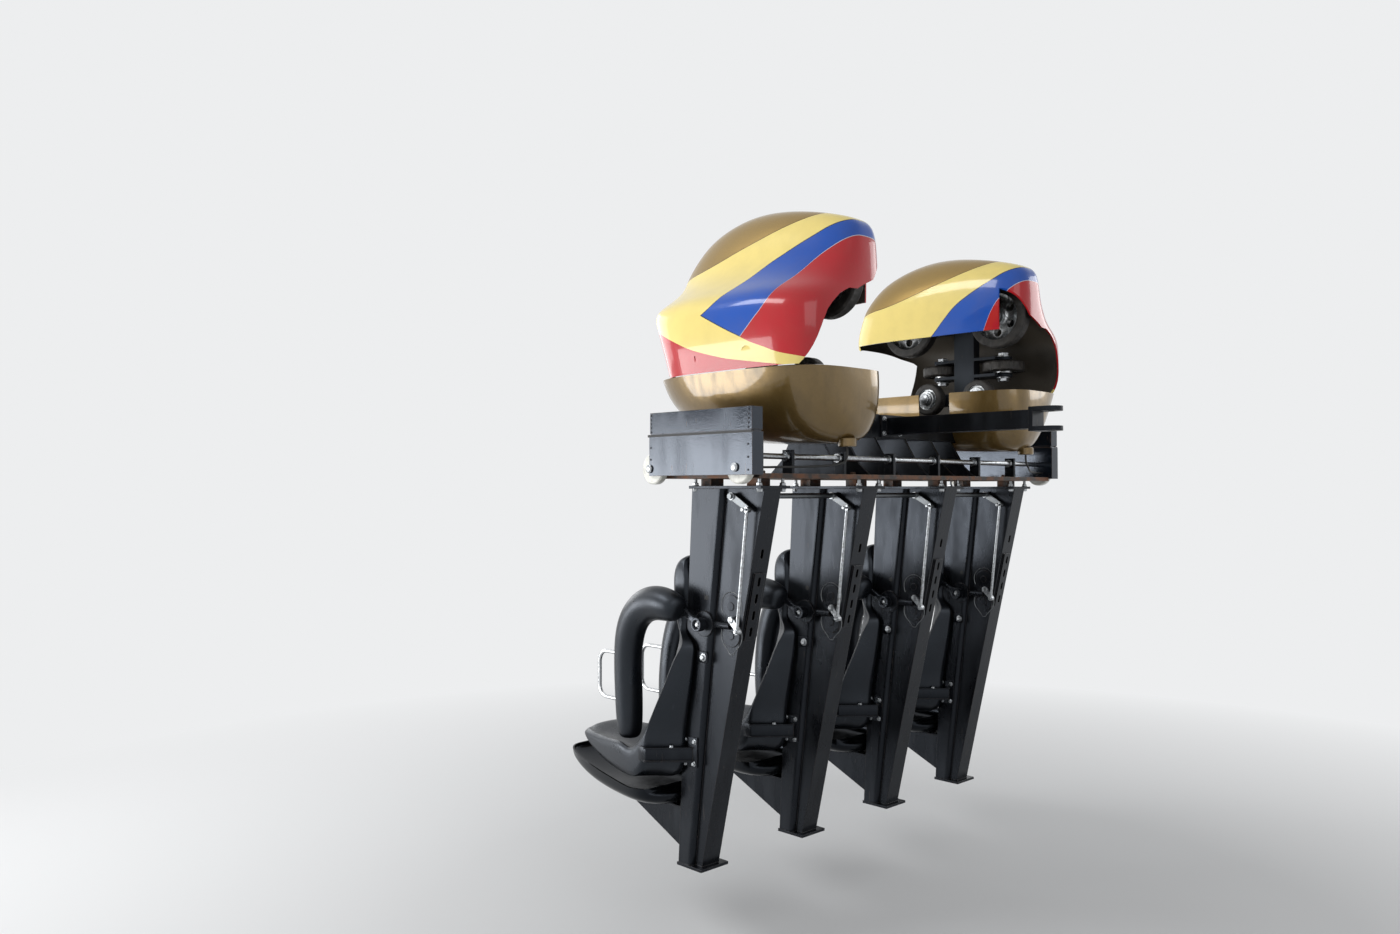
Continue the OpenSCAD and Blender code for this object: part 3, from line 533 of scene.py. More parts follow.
def over_line(material, point, line):
    """How far a point lies over a line of the paint."""
    span = PAINT_REAR - PAINT_FRONT
    along = add_node(material, "Math", [point["Y"], PAINT_FRONT], operation="SUBTRACT")
    along = add_node(material, "Math", [along, span], operation="DIVIDE")
    drawn = add_node(material, "FloatCurve", {"Value": along}).node
    curve = drawn.mapping.curves[0]
    for y, z in line[1:-1]:
        curve.points.new((y - PAINT_FRONT) / span, (z - PAINT_FRONT) / span)
    for end in (0, -1):
        curve.points[end].location = [(a - PAINT_FRONT) / span for a in line[end]]
    for each in curve.points:
        each.handle_type = "AUTO_CLAMPED"
    drawn.mapping.update()
    height = add_node(material, "Math", [drawn.outputs[0], span, PAINT_FRONT], operation="MULTIPLY_ADD")
    return add_node(material, "Math", [point["Z"], height], operation="SUBTRACT")


def cover_paint(name):
    """Glass-fibre laminate with two-pack paint under clear lacquer: gold with fine metal flake on the crest,
    then solid yellow, blue and red fields with crisp masked edges, and a dark line around the arrow."""
    material, shader = new_material(name)
    place = add_node(material, "TexCoord", output="Object")
    point = add_node(material, "SeparateXYZ", [place]).node.outputs
    over_gold, over_top, over_arrow_low, over_tail, over_skirt = (
        over_line(material, point, line) for line in (GOLD_LINE, ARROW_TOP, ARROW_LOW, TAIL_LINE, SKIRT_LINE))
    under_top = add_node(material, "Math", [over_top, -1.0], operation="MULTIPLY")
    is_gold, is_under_top, is_over_low, is_over_tail, is_over_skirt = (
        add_node(material, "Math", [height, 0.0], operation="GREATER_THAN")
        for height in (over_gold, under_top, over_arrow_low, over_tail, over_skirt))
    in_arrow = add_node(material, "Math", [is_under_top, is_over_low], operation="MULTIPLY")
    under_tail = add_node(material, "Math", [1.0, is_over_tail], operation="SUBTRACT")
    in_tail = add_node(material, "Math", [in_arrow, under_tail], operation="MULTIPLY")
    in_skirt = add_node(material, "Math", [1.0, is_over_skirt], operation="SUBTRACT")
    # The dark line runs on the arrow's own side of its two yellow edges
    rim = add_node(material, "Math", [under_top, over_arrow_low], operation="MINIMUM")
    in_rim = add_node(material, "Math", [rim, sizes().pinstripe], operation="LESS_THAN")
    in_line = add_node(material, "Math", [in_arrow, in_rim], operation="MULTIPLY")
    in_line = add_node(material, "Math", [in_line, is_over_tail], operation="MULTIPLY")
    # A thin painted shadow line under the crest, and a thin painted highlight along the ridge where blue
    # meets red
    from_gold, from_tail = (add_node(material, "Math", [height], operation="ABSOLUTE")
                            for height in (over_gold, over_tail))
    under_crest = add_node(material, "Math", [from_gold, 0.0018], operation="LESS_THAN")
    ridge_highlight = add_node(material, "Math", [from_tail, 0.0016], operation="LESS_THAN")
    ridge_highlight = add_node(material, "Math", [ridge_highlight, in_arrow], operation="MULTIPLY")
    flake = add_node(material, "MapRange", [grain(material, 0.0015, 2.0), 0.35, 0.65])
    gold = add_node(material, "Mix", {"Factor": flake, "A": colours().gold, "B": linear("#8C7340")},
                    data_type="RGBA")
    # Road film: a faint brown haze in patches
    film = add_node(material, "MapRange", [grain(material, 0.1, 7.0), 0.4, 0.75])
    film = add_node(material, "Math", [film, 0.1], operation="MULTIPLY")
    colour = colours().yellow
    for share, other in ((is_gold, gold), (under_crest, linear("#5E4C28")), (in_arrow, colours().blue),
                         (in_tail, colours().red), (in_skirt, colours().red), (ridge_highlight, linear("#C9CDD6")),
                         (in_line, linear("#0E1830")), (film, linear("#6B5A44"))):
        colour = add_node(material, "Mix", {"Factor": share, "A": colour, "B": other}, data_type="RGBA")
    link(material, colour, shader.inputs["Base Color"])
    metal = add_node(material, "Math", [is_gold, 0.55], operation="MULTIPLY")
    link(material, metal, shader.inputs["Metallic"])
    rough = add_node(material, "Math", [is_gold, 0.12, 0.22], operation="MULTIPLY_ADD")
    link(material, rough, shader.inputs["Roughness"])
    shader.inputs["Specular IOR Level"].default_value = 0.2
    shader.inputs["Coat Weight"].default_value = 0.6
    shader.inputs["Coat Roughness"].default_value = 0.05
    shader.inputs["Coat IOR"].default_value = 1.45
    # Slight print-through of the laminate
    relief(material, shader, grain(material, 0.05, 2.0), 0.0008)
    return material


def dome_paint(name):
    """Gold flake under lacquer on glass fibre, darker than the covers' gold as painted shade from the beam,
    streaked by water and rubber dust.
    """
    material, shader = new_material(name)
    streaks = add_node(material, "MapRange", [grain(material, 0.05, 6.0, (1, 1, 3)), 0.45, 0.75])
    flake = add_node(material, "MapRange", [grain(material, 0.0015, 2.0), 0.35, 0.65])
    # Painted shade: a darker gold than the covers', for the beam's shadow over the domes
    gold = add_node(material, "Mix", {"Factor": flake, "A": linear("#80663A"), "B": linear("#69562B")},
                    data_type="RGBA")
    dirt = add_node(material, "Math", [streaks, 0.3], operation="MULTIPLY")
    colour = add_node(material, "Mix", {"Factor": dirt, "A": gold, "B": linear("#40351F")}, data_type="RGBA")
    link(material, colour, shader.inputs["Base Color"])
    shader.inputs["Metallic"].default_value = 0.55
    rough = add_node(material, "Math", [streaks, 0.2, 0.3], operation="MULTIPLY_ADD")
    link(material, rough, shader.inputs["Roughness"])
    shader.inputs["Coat Weight"].default_value = 0.8
    shader.inputs["Coat Roughness"].default_value = 0.08
    relief(material, shader, grain(material, 0.05, 2.0), 0.0008)
    return material


def bare_laminate(name):
    """Glass fibre without paint, as it left the mould: dull grey-brown, with the mat's strands showing."""
    material, shader = new_material(name)
    strands = grain(material, 0.004, 5.0, (4, 1, 1))
    colour = add_node(material, "Mix", {"Factor": strands, "A": linear("#2E2A24"), "B": linear("#5A5246")},
                      data_type="RGBA")
    link(material, colour, shader.inputs["Base Color"])
    shader.inputs["Roughness"].default_value = 0.6
    relief(material, shader, strands, 0.0004)
    return material


def rusty_plate(name):
    """Rolled steel plate, its black paint gone brown: rust in soft patches, bare where feet and tools rub."""
    material, shader = new_material(name)
    patches = add_node(material, "MapRange", [grain(material, 0.06, 7.0), 0.42, 0.6])
    colour = add_node(material, "Mix", {"Factor": patches, "A": linear("#2A2522"), "B": linear("#6E4A34")},
                      data_type="RGBA")
    colour = add_node(material, "Mix", {"Factor": worn_edges(material), "A": colour, "B": linear("#A98F78")},
                      data_type="RGBA")
    link(material, colour, shader.inputs["Base Color"])
    rough = add_node(material, "Math", [patches, 0.2, 0.45], operation="MULTIPLY_ADD")
    link(material, rough, shader.inputs["Roughness"])
    shader.inputs["Metallic"].default_value = 0.35
    relief(material, shader, grain(material, 0.004, 5.0), 0.0006, 0.002)
    return material


def bare_metal(name, colour="#B9BDC1", roughness=0.3):
    """Plated, drawn or turned metal: a grey mirror broken by fine marks."""
    material, shader = new_material(name)
    marks = grain(material, 0.01, 5.0)
    dull = add_node(material, "MapRange", [marks, 0.4, 0.7])
    colour = add_node(material, "Mix", {"Factor": dull, "A": linear(colour), "B": linear("#7E8080")},
                      data_type="RGBA")
    link(material, colour, shader.inputs["Base Color"])
    shader.inputs["Metallic"].default_value = 1.0
    rough = add_node(material, "Math", [marks, 0.25, roughness - 0.1], operation="MULTIPLY_ADD")
    link(material, rough, shader.inputs["Roughness"])
    relief(material, shader, marks, 0.0002, 0.0015)
    return material


def polished_tube(name):
    """Stainless tube, polished: a clean mirror with hair-fine rubbing from hands."""
    material, shader = new_material(name)
    shader.inputs["Base Color"].default_value = linear("#D6D8DA")
    shader.inputs["Metallic"].default_value = 1.0
    rubbed = add_node(material, "MapRange", [grain(material, 0.02, 6.0), 0.35, 0.7, 0.08, 0.24])
    link(material, rubbed, shader.inputs["Roughness"])
    return material


def cast_nylon(name):
    """Cast nylon: milky white, dirty where it rolls."""
    material, shader = new_material(name)
    dirt = add_node(material, "MapRange", [grain(material, 0.03, 5.0), 0.5, 0.75])
    dirt = add_node(material, "Math", [dirt, 0.5], operation="MULTIPLY")
    colour = add_node(material, "Mix", {"Factor": dirt, "A": linear("#E4E4DC"), "B": linear("#8E8A80")},
                      data_type="RGBA")
    link(material, colour, shader.inputs["Base Color"])
    shader.inputs["Roughness"].default_value = 0.42
    shader.inputs["IOR"].default_value = 1.53
    relief(material, shader, grain(material, 0.008), 0.0003, 0.002)
    return material


def cast_tyre(name):
    """Cast polyurethane tyre: dark brown-black, matt where it rolls."""
    material, shader = new_material(name)
    dust = add_node(material, "MapRange", [grain(material, 0.04, 6.0), 0.4, 0.7])
    dust = add_node(material, "Math", [dust, 0.35], operation="MULTIPLY")
    colour = add_node(material, "Mix", {"Factor": dust, "A": linear("#1B1917"), "B": linear("#55504A")},
                      data_type="RGBA")
    link(material, colour, shader.inputs["Base Color"])
    shader.inputs["Roughness"].default_value = 0.6
    relief(material, shader, grain(material, 0.003), 0.0003)
    return material


def rubber_sheath(name):
    """Extruded rubber sheath: deep matt black; also the sheet of painted shadow in the guide boxes' gap."""
    material, shader = new_material(name)
    patches = grain(material, 0.02, 4.0)
    colour = add_node(material, "Mix", {"Factor": patches, "A": linear("#0D0D0D"), "B": linear("#1D1D1D")},
                      data_type="RGBA")
    link(material, colour, shader.inputs["Base Color"])
    shader.inputs["Roughness"].default_value = 0.55
    relief(material, shader, grain(material, 0.002, 2.0), 0.0002)
    return material


FINISHES = {
    # Brushed machine paint: dark satin, with grey-brown metal along rubbed edges
    "black_machine_paint": lambda name: painted_steel(name, colours().black),
    # A fresher, wetter coat on the hangers, worn more along their flanges
    "black_hanger_paint": lambda name: painted_steel(name, colours().black, 0.26, 0.8, specular=0.32),
    # Stoved enamel on the guide boxes: blue-black and nearly a mirror, brown metal at its edges
    "black_gloss_enamel": lambda name: painted_steel(name, linear("#11171F"), 0.1, 0.8, "#A9886C", 0.7),
    # Enamel on the restraints' arms: pale along its edges, partly metal rubbed bright by hands and partly a
    # painted highlight
    "black_arm_enamel": lambda name: painted_steel(name, colours().black, 0.2, 0.9, "#8C9096", 0.5),
    # Thin paint over cast steel: dull and dark grey
    "grey_cast_steel_paint": lambda name: painted_steel(name, linear("#1E2124"), 0.5, 0.4),
    "integral_skin_foam": moulded_foam,
    "thermoformed_abs": formed_plastic,
    "lacquered_glass_fibre": cover_paint,
    # The domes' gold, painted darker than the covers' as shade from the beam above them
    "gold_glass_fibre_in_painted_shade": dome_paint,
    "bare_glass_fibre": bare_laminate,
    "rusty_rolled_plate": rusty_plate,
    # Zinc plating on bolts, nuts and rods: a pale mirror with a slight haze
    "zinc_plated_steel": bare_metal,
    # Weld beads with their paint rubbed off: darker metal with a soft sheen
    "rubbed_weld_bead": lambda name: bare_metal(name, "#74777A", 0.42),
    # Drawn steel without plating: dark grey with a soft sheen
    "dull_drawn_steel": lambda name: bare_metal(name, "#6E7276", 0.4),
    # Turned aluminium: pale and satin, so that hubs stand out in dark tyres
    "turned_aluminium": lambda name: bare_metal(name, "#C9CCCE", 0.35),
    "polished_stainless_tube": polished_tube,
    "cast_nylon": cast_nylon,
    "cast_polyurethane": cast_tyre,
    # Rubber of the cables and plugs, and the matt black sheet of painted shadow in the guide boxes' gap
    "black_rubber_and_painted_shadow": rubber_sheath,
}


def finish(name):
    """A finish by its name, made once."""
    return bpy.data.materials.get(name) or FINISHES[name](name)


def paint_nodes(name, *nodes):
    """Gives CAD nodes a finish."""
    for node in nodes:
        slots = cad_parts[node].data.materials
        slots.clear()
        slots.append(finish(name))


# Pieces


class CAR_OT_stage(bpy.types.Operator):
    """Pale floor, studio lamps and the camera at the photograph's viewing angle"""
    bl_idname = "car.stage"
    bl_label = "Stage"

    def execute(self, context):
        scene = context.scene
        scene.view_settings.view_transform = "Standard"
        self.add_camera(scene)
        self.add_lamps()
        self.add_floor()
        self.add_world(scene)
        return {"FINISHED"}

    def add_camera(self, scene):
        """The photograph's place and angle, worked out from its vanishing points."""
        place = Vector((4.201, 3.12, -0.645))
        pitch = math.radians(1.2)
        forward = Vector((-0.694, -0.72, math.tan(pitch))).normalized()
        right = forward.cross(Vector((0, 0, 1))).normalized()
        up = right.cross(forward)
        deselect()
        bpy.ops.object.camera_add()
        camera = bpy.context.object
        camera.name = "camera"
        turn = Matrix((right, up, -forward)).transposed()
        camera.matrix_world = Matrix.Translation(place) @ turn.to_4x4()
        camera.data.lens = sizes().lens
        camera.data.sensor_width = 36.0
        camera.data.sensor_fit = "HORIZONTAL"
        camera.data.clip_end = 200.0
        scene.camera = camera

    def add_lamps(self):
        """Large lamps that look at the middle of the car."""
        centre = (cad_box[0] + cad_box[1]) / 2
        # Place, size and power: broad light from the car's front left, softer light from the camera's side
        lamps = {
            "key": ((5.5, -2.6, 3.6), (4.0, 1.4), 165.0),
            "left_window": ((5.6, -4.6, -1.15), (4.5, 2.2), 215.0),
            "front_fill": ((0.5, -7.0, 1.0), (5.0, 3.0), 90.0),
            "camera_fill": ((4.0, 6.0, 2.2), (4.5, 2.7), 60.0),
            "back_strip": ((-6.0, 2.5, 1.5), (3.5, 2.1), 80.0),
        }
        for name, (place, size, power) in lamps.items():
            deselect()
            bpy.ops.object.light_add(type="AREA", location=place)
            lamp = bpy.context.object
            lamp.name = name
            lamp.data.shape = "RECTANGLE"
            lamp.data.size, lamp.data.size_y = size
            lamp.data.energy = power
            lamp.rotation_euler = (centre - Vector(place)).to_track_quat("-Z", "Y").to_euler()

    def add_floor(self):
        """A matt grey floor that turns to the backdrop's white between two distances from the car."""
        radius = 40.0
        fade = (2.2, 6.5)
        deselect()
        bpy.ops.mesh.primitive_circle_add(
            vertices=96, radius=radius, fill_type="NGON",
            location=(0, 0, cad_box[0][2] - sizes().floor_drop))
        floor = bpy.context.object
        floor.name = "floor"
        material, shader = new_material("studio_floor")
        shader.inputs["Base Color"].default_value = colours().floor
        shader.inputs["Roughness"].default_value = 0.85
        place = add_node(material, "TexCoord", output="Object")
        distance = add_node(material, "VectorMath", [place], operation="LENGTH")
        far = add_node(material, "MapRange", [distance, *fade])
        glow = add_node(material, "Emission", {"Color": linear(BACKDROP), "Strength": 1.0})
        glowing = add_node(material, "Math", [far, seen_ray(material)], operation="MULTIPLY")
        mixed = add_node(material, "MixShader", [glowing, shader.outputs[0], glow])
        link(material, mixed, material.node_tree.nodes["Material Output"].inputs["Surface"])
        floor.data.materials.append(material)

    def add_world(self, scene):
        """White where it is seen, and dimmer where it lights the car."""
        world = bpy.data.worlds.new("studio")
        scene.world = world
        world.use_nodes = True
        background = world.node_tree.nodes["Background"]
        strength = add_node(world, "MapRange", [seen_ray(world), 0.0, 1.0, 0.45, 1.0])
        background.inputs["Color"].default_value = linear(BACKDROP)
        link(world, strength, background.inputs["Strength"])


# Levels of the moulded shells, in millimetres: height at the front, in the middle and at the rear, reach
# outwards, inwards, to the rear and to the front, and how square the front and rear outer corners are
COVER_FOOT = -150
COVER_LEVELS = (
    (COVER_FOOT, COVER_FOOT, COVER_FOOT, 345, 170, 500, 425, 4.2, 6),
    (-60, -60, -60, 366, 172, 506, 445, 4, 6),
    (50, 50, 50, 371, 175, 508, 500, 3.8, 5.5),
    (118, 122, 112, 368, 178, 509, 532, 3.8, 5),
    (155, 168, 155, 340, 180, 509, 540, 3.8, 4.2),
    (190, 208, 198, 284, 182, 508, 536, 3.4, 3.2),
    (225, 255, 245, 230, 182, 507, 528, 3, 3),
    (260, 315, 305, 184, 180, 505, 516, 2.8, 2.8),
    (295, 375, 365, 158, 176, 503, 504, 2.8, 2.8),
    (335, 435, 418, 142, 166, 498, 492, 2.7, 2.7),
    (405, 503, 458, 114, 136, 486, 444, 2.5, 2.6),
    (475, 548, 490, 78, 96, 430, 380, 2.4, 2.4),
    (540, 572, 522, 26, 36, 260, 240, 2.2, 2.2))
DOME_RIM = COVER_FOOT - 3
DOME_LEVELS = (
    (DOME_RIM, DOME_RIM, DOME_RIM, 341, 210, 500, 520, 3.4, 5),
    (-220, -220, -220, 330, 210, 505, 520, 2.8, 3.6),
    (-290, -310, -320, 305, 200, 500, 470, 2.6, 2.7),
    (-340, -380, -390, 250, 170, 480, 400, 2.4, 2.4),
    (-380, -425, -436, 180, 130, 455, 300, 2.3, 2.4),
    (-410, -446, -454, 90, 80, 400, 170, 2.2, 2.4))
# The finished cover's edges: round rail and wheels, seen from behind (x, z), and at the nose, seen from the
# side (y, z)
TAIL_EDGE = (
    (500, 380), (550, 350), (600, 275), (642, 218), (710, 189), (750, 168), (800, 166), (856, 138),
    (900, 98), (926, 66), (946, 20), (972, -50), (1010, COVER_FOOT), (1010, -190), (500, -190))
NOSE_EDGE = (
    (-640, 150), (-588, 146), (-530, 108), (-478, 84), (-462, 70), (-452, COVER_FOOT), (-452, -190),
    (-640, -190))
COVER_CENTRE = (700, -50)
INNER_SQUARE = 4.5
SHELL_WALL = 0.008


def level_point(row, angle, side):
    """A shell's point on a level at an angle: 0 is outboard, 90 the rear, 180 inboard and 270 the front."""
    out = math.cos(angle)
    back = math.sin(angle)
    front, middle, rear, outwards, inwards, to_rear, to_front, front_square, rear_square = row
    square = rear_square if back > 0 else front_square
    if out < 0:
        square = min(INNER_SQUARE, front_square + 2)
    reach = (abs(out) ** square + abs(back) ** square) ** (-1 / square)
    along = reach * back
    height = middle + (rear - front) / 2 * along + ((rear + front) / 2 - middle) * along * along
    x = COVER_CENTRE[0] + reach * out * (outwards if out > 0 else inwards)
    y = COVER_CENTRE[1] + along * (to_rear if back > 0 else to_front)
    return Vector((side * x, y, height)) / 1000


def level_shell(levels, columns, side, paint):
    """The smooth wall of a moulded shell through its levels, closed over its ridge and given its thickness,
    painted outside and bare laminate inside."""
    mesh = bmesh.new()
    rings = [[mesh.verts.new(level_point(row, 2 * math.pi * j / columns, side)) for j in range(columns)]
             for row in levels]
    for low, high in zip(rings, rings[1:]):
        for j in range(columns):
            k = (j + 1) % columns
            mesh.faces.new((low[j], low[k], high[k], high[j]))
    crown = rings[-1]
    pairs = [(crown[(columns // 4 + k) % columns], crown[(columns // 4 - k) % columns])
             for k in range(columns // 2 + 1)]
    for (a, b), (c, d) in zip(pairs, pairs[1:]):
        mesh.faces.new(list(dict.fromkeys((a, b, d, c))))
    bmesh.ops.recalc_face_normals(mesh, faces=mesh.faces)
    mesh.faces.ensure_lookup_table()
    upwards = levels[-1][1] > levels[0][1]
    if (mesh.faces[-1].normal.z > 0) != upwards:
        bmesh.ops.reverse_faces(mesh, faces=mesh.faces)
    deselect()
    bpy.ops.mesh.primitive_plane_add()
    piece = bpy.context.object
    mesh.to_mesh(piece.data)
    mesh.free()
    smoothed(piece)
    piece.data.materials.append(finish(paint))
    piece.data.materials.append(finish("bare_glass_fibre"))
    wall = piece.modifiers.new("Wall", "SOLIDIFY")
    wall.thickness = SHELL_WALL
    wall.offset = -1.0
    wall.material_offset = 1
    bpy.ops.object.modifier_apply(modifier=wall.name)
    return piece


def in_metres(points, side=1):
    """Points given in millimetres, on one side of the car."""
    return [(side * a / 1000, b / 1000) for a, b in points]


class CAR_OT_covers(bpy.types.Operator):
    """The painted covers over the wheels and the gold domes under them"""
    bl_idname = "car.covers"
    bl_label = "Covers"

    def execute(self, context):
        for name, side in SIDES.items():
            self.add_cover(name, side)
            self.add_dome(name, side)
        return {"FINISHED"}

    def add_cover(self, name, side):
        """The cover, cut open round rail and wheels, with the post that carries it."""
        shell = level_shell(COVER_LEVELS, 36, side, "lacquered_glass_fibre")
        pocket = [(0.102, -0.17), (0.158, -0.17)] + arc((0.13, -0.088), 0.028, 0, 180, 20)
        slot = [(-0.176, -0.116), (-0.169, -0.116), (-0.169, -0.077), (-0.176, -0.077)]
        inner_side = [(-0.64, -0.17), (0.52, -0.17), (0.52, 0.15), (-0.64, 0.15)]
        cut(shell,
            slab(in_metres(TAIL_EDGE, side), 1, 0.34, 0.52),
            slab(in_metres(NOSE_EDGE), 0, side * 0.3, side * 1.1),
            slab(inner_side, 0, side * 0.48, side * 0.6),
            slab(pocket, 0, side * 1.0595, side * 1.1),
            slab(slot, 0, side * 1.054, side * 1.1))
        # Post that carries the cover on the wheel carrier
        post = turned((side * 0.716, WHEELS_Y, 0.42), (0, 0, 1), 0.018, 0.286, ((0.014, 0.002),), 24)
        post.data.materials.append(finish("grey_cast_steel_paint"))
        cover = joined([shell, post])
        settle(cover, "painted_cover_" + name, None, "chassis", "cover_shell", "cover_" + name)
        bpy.ops.object.shade_smooth_by_angle(angle=math.radians(32))

    def add_dome(self, name, side):
        """The bowl under the cover, with the beam's opening, the cable's stub and a post."""
        bowl = level_shell(DOME_LEVELS, 28, side, "gold_glass_fibre_in_painted_shade")
        beam_opening = [(-0.102, -0.408), (0.082, -0.408), (0.082, -0.1), (-0.102, -0.1)]
        cut(bowl, slab(beam_opening, 0, side * 0.38, side * 0.66))
        # Stub with its flange for the cable, and the post under the bowl
        flange = ((0.034, 0.003), (0.012, 0.004))
        stub = turned((side * 0.72, 0.38, -0.452), (0, 0, 1), 0.038, 0.030, flange, 40)
        stub.data.materials.append(finish("gold_glass_fibre_in_painted_shade"))
        post = turned((side * 0.72, WHEELS_Y, -0.422), (0, 0, 1), 0.022, 0.044, ((0.018, 0.0),), 24)
        post.data.materials.append(finish("black_machine_paint"))
        dome = joined([bowl, stub, post])
        settle(dome, "gold_dome_" + name, None, "chassis", "dome_shell", "dome_" + name)
        bpy.ops.object.shade_smooth_by_angle(angle=math.radians(32))


class CAR_OT_guide_boxes(bpy.types.Operator):
    """Guide boxes with their rivets, axle bolts, nylon rollers and cables"""
    bl_idname = "car.guide_boxes"
    bl_label = "Guide boxes"

    def execute(self, context):
        for name, side in SIDES.items():
            paint_nodes("black_gloss_enamel", "guide_box_" + name)
            low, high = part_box("guide_box_" + name)
            face = abs(high.x if side > 0 else low.x)
            seam = -0.419
            ends = (low.y + 0.022, high.y - 0.022)
            rivets = [turned((side * (face - 0.0065), y, seam + 0.016 + 0.0175 * row), (side, 0, 0), 0.0045,
                             0.004, ((0.0025, 0.0012),), 12) for y in ends for row in range(5)]
            rivets += [turned((side * (face - 0.0045), y, seam - below), (side, 0, 0), 0.004, 0.004,
                              ((0.0022, 0.001),), 12) for y in ends for below in (0.15, 0.10, 0.05)]
            settle(joined(rivets), "box_rivets_" + name, "black_gloss_enamel", "chassis", "guide_paint")
            # A matt black sheet in the gap between the two blocks, as painted shadow
            front, rear = low.y + 0.003, high.y - 0.003
            strip = [(front, seam - 0.005), (rear, seam - 0.005), (rear, seam + 0.005), (front, seam + 0.005)]
            gap = slab(strip, 0, side * (face - 0.020), side * (face - 0.0042))
            settle(gap, "box_painted_shadow_" + name, "black_rubber_and_painted_shadow", "chassis", "guide_paint")
            heads = []
            for y in (-0.296, 0.208):
                place = Vector((side * (face - 0.001), y, -0.558))
                heads.append(turned(place, (side, 0, 0), 0.0175, 0.006, ((0.016, 0.001),), 32))
                heads.append(turned(place + Vector((side * 0.004, 0, 0)), (side, 0, 0), 0.0135, 0.004,
                                    ((0.0115, 0.001), (0.004, 0.0012)), 32))
            settle(joined(heads), "axle_caps_" + name, "zinc_plated_steel", "chassis", "zinc_steel")
            self.add_cable(name, side)
        for corner in CORNERS:
            paint_nodes("cast_nylon", "guide_roller_" + corner)
        return {"FINISHED"}

    def add_cable(self, name, side):
        """The cable hangs from the dome's stub and runs along under the deck's edge into the guide box."""
        stub = Vector((side * 0.72, 0.38, -0.472))
        end = Vector((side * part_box("guide_box_left")[0].x, 0.244, -0.557))
        route = [stub, stub + Vector((0, 0, -0.018)), stub + Vector((side * 0.004, 0.001, -0.04)),
                 stub + Vector((side * 0.02, 0.001, -0.06))]
        for out, back, lift in ((0.14, 0.1, 0.013), (0.29, 0.32, 0.006), (0.47, 0.56, 0.003),
                                (0.65, 0.78, 0.002), (0.83, 0.95, 0.0), (0.94, 1.0, 0.0)):
            route.append(Vector((
                stub.x + out * (end.x - stub.x), stub.y + back * (end.y - stub.y), end.z + lift)))
        route.append(end)
        path = round_path(route, 3)
        cable = wire(path, 0.005)
        settle(cable, "dome_cable_" + name, "black_rubber_and_painted_shadow", "chassis", "cable_rubber", "cable_" + name)
        length = sum((b - a).length for a, b in zip(path, path[1:]))
        tuple(path[0])
        [tuple(p) for p in path]


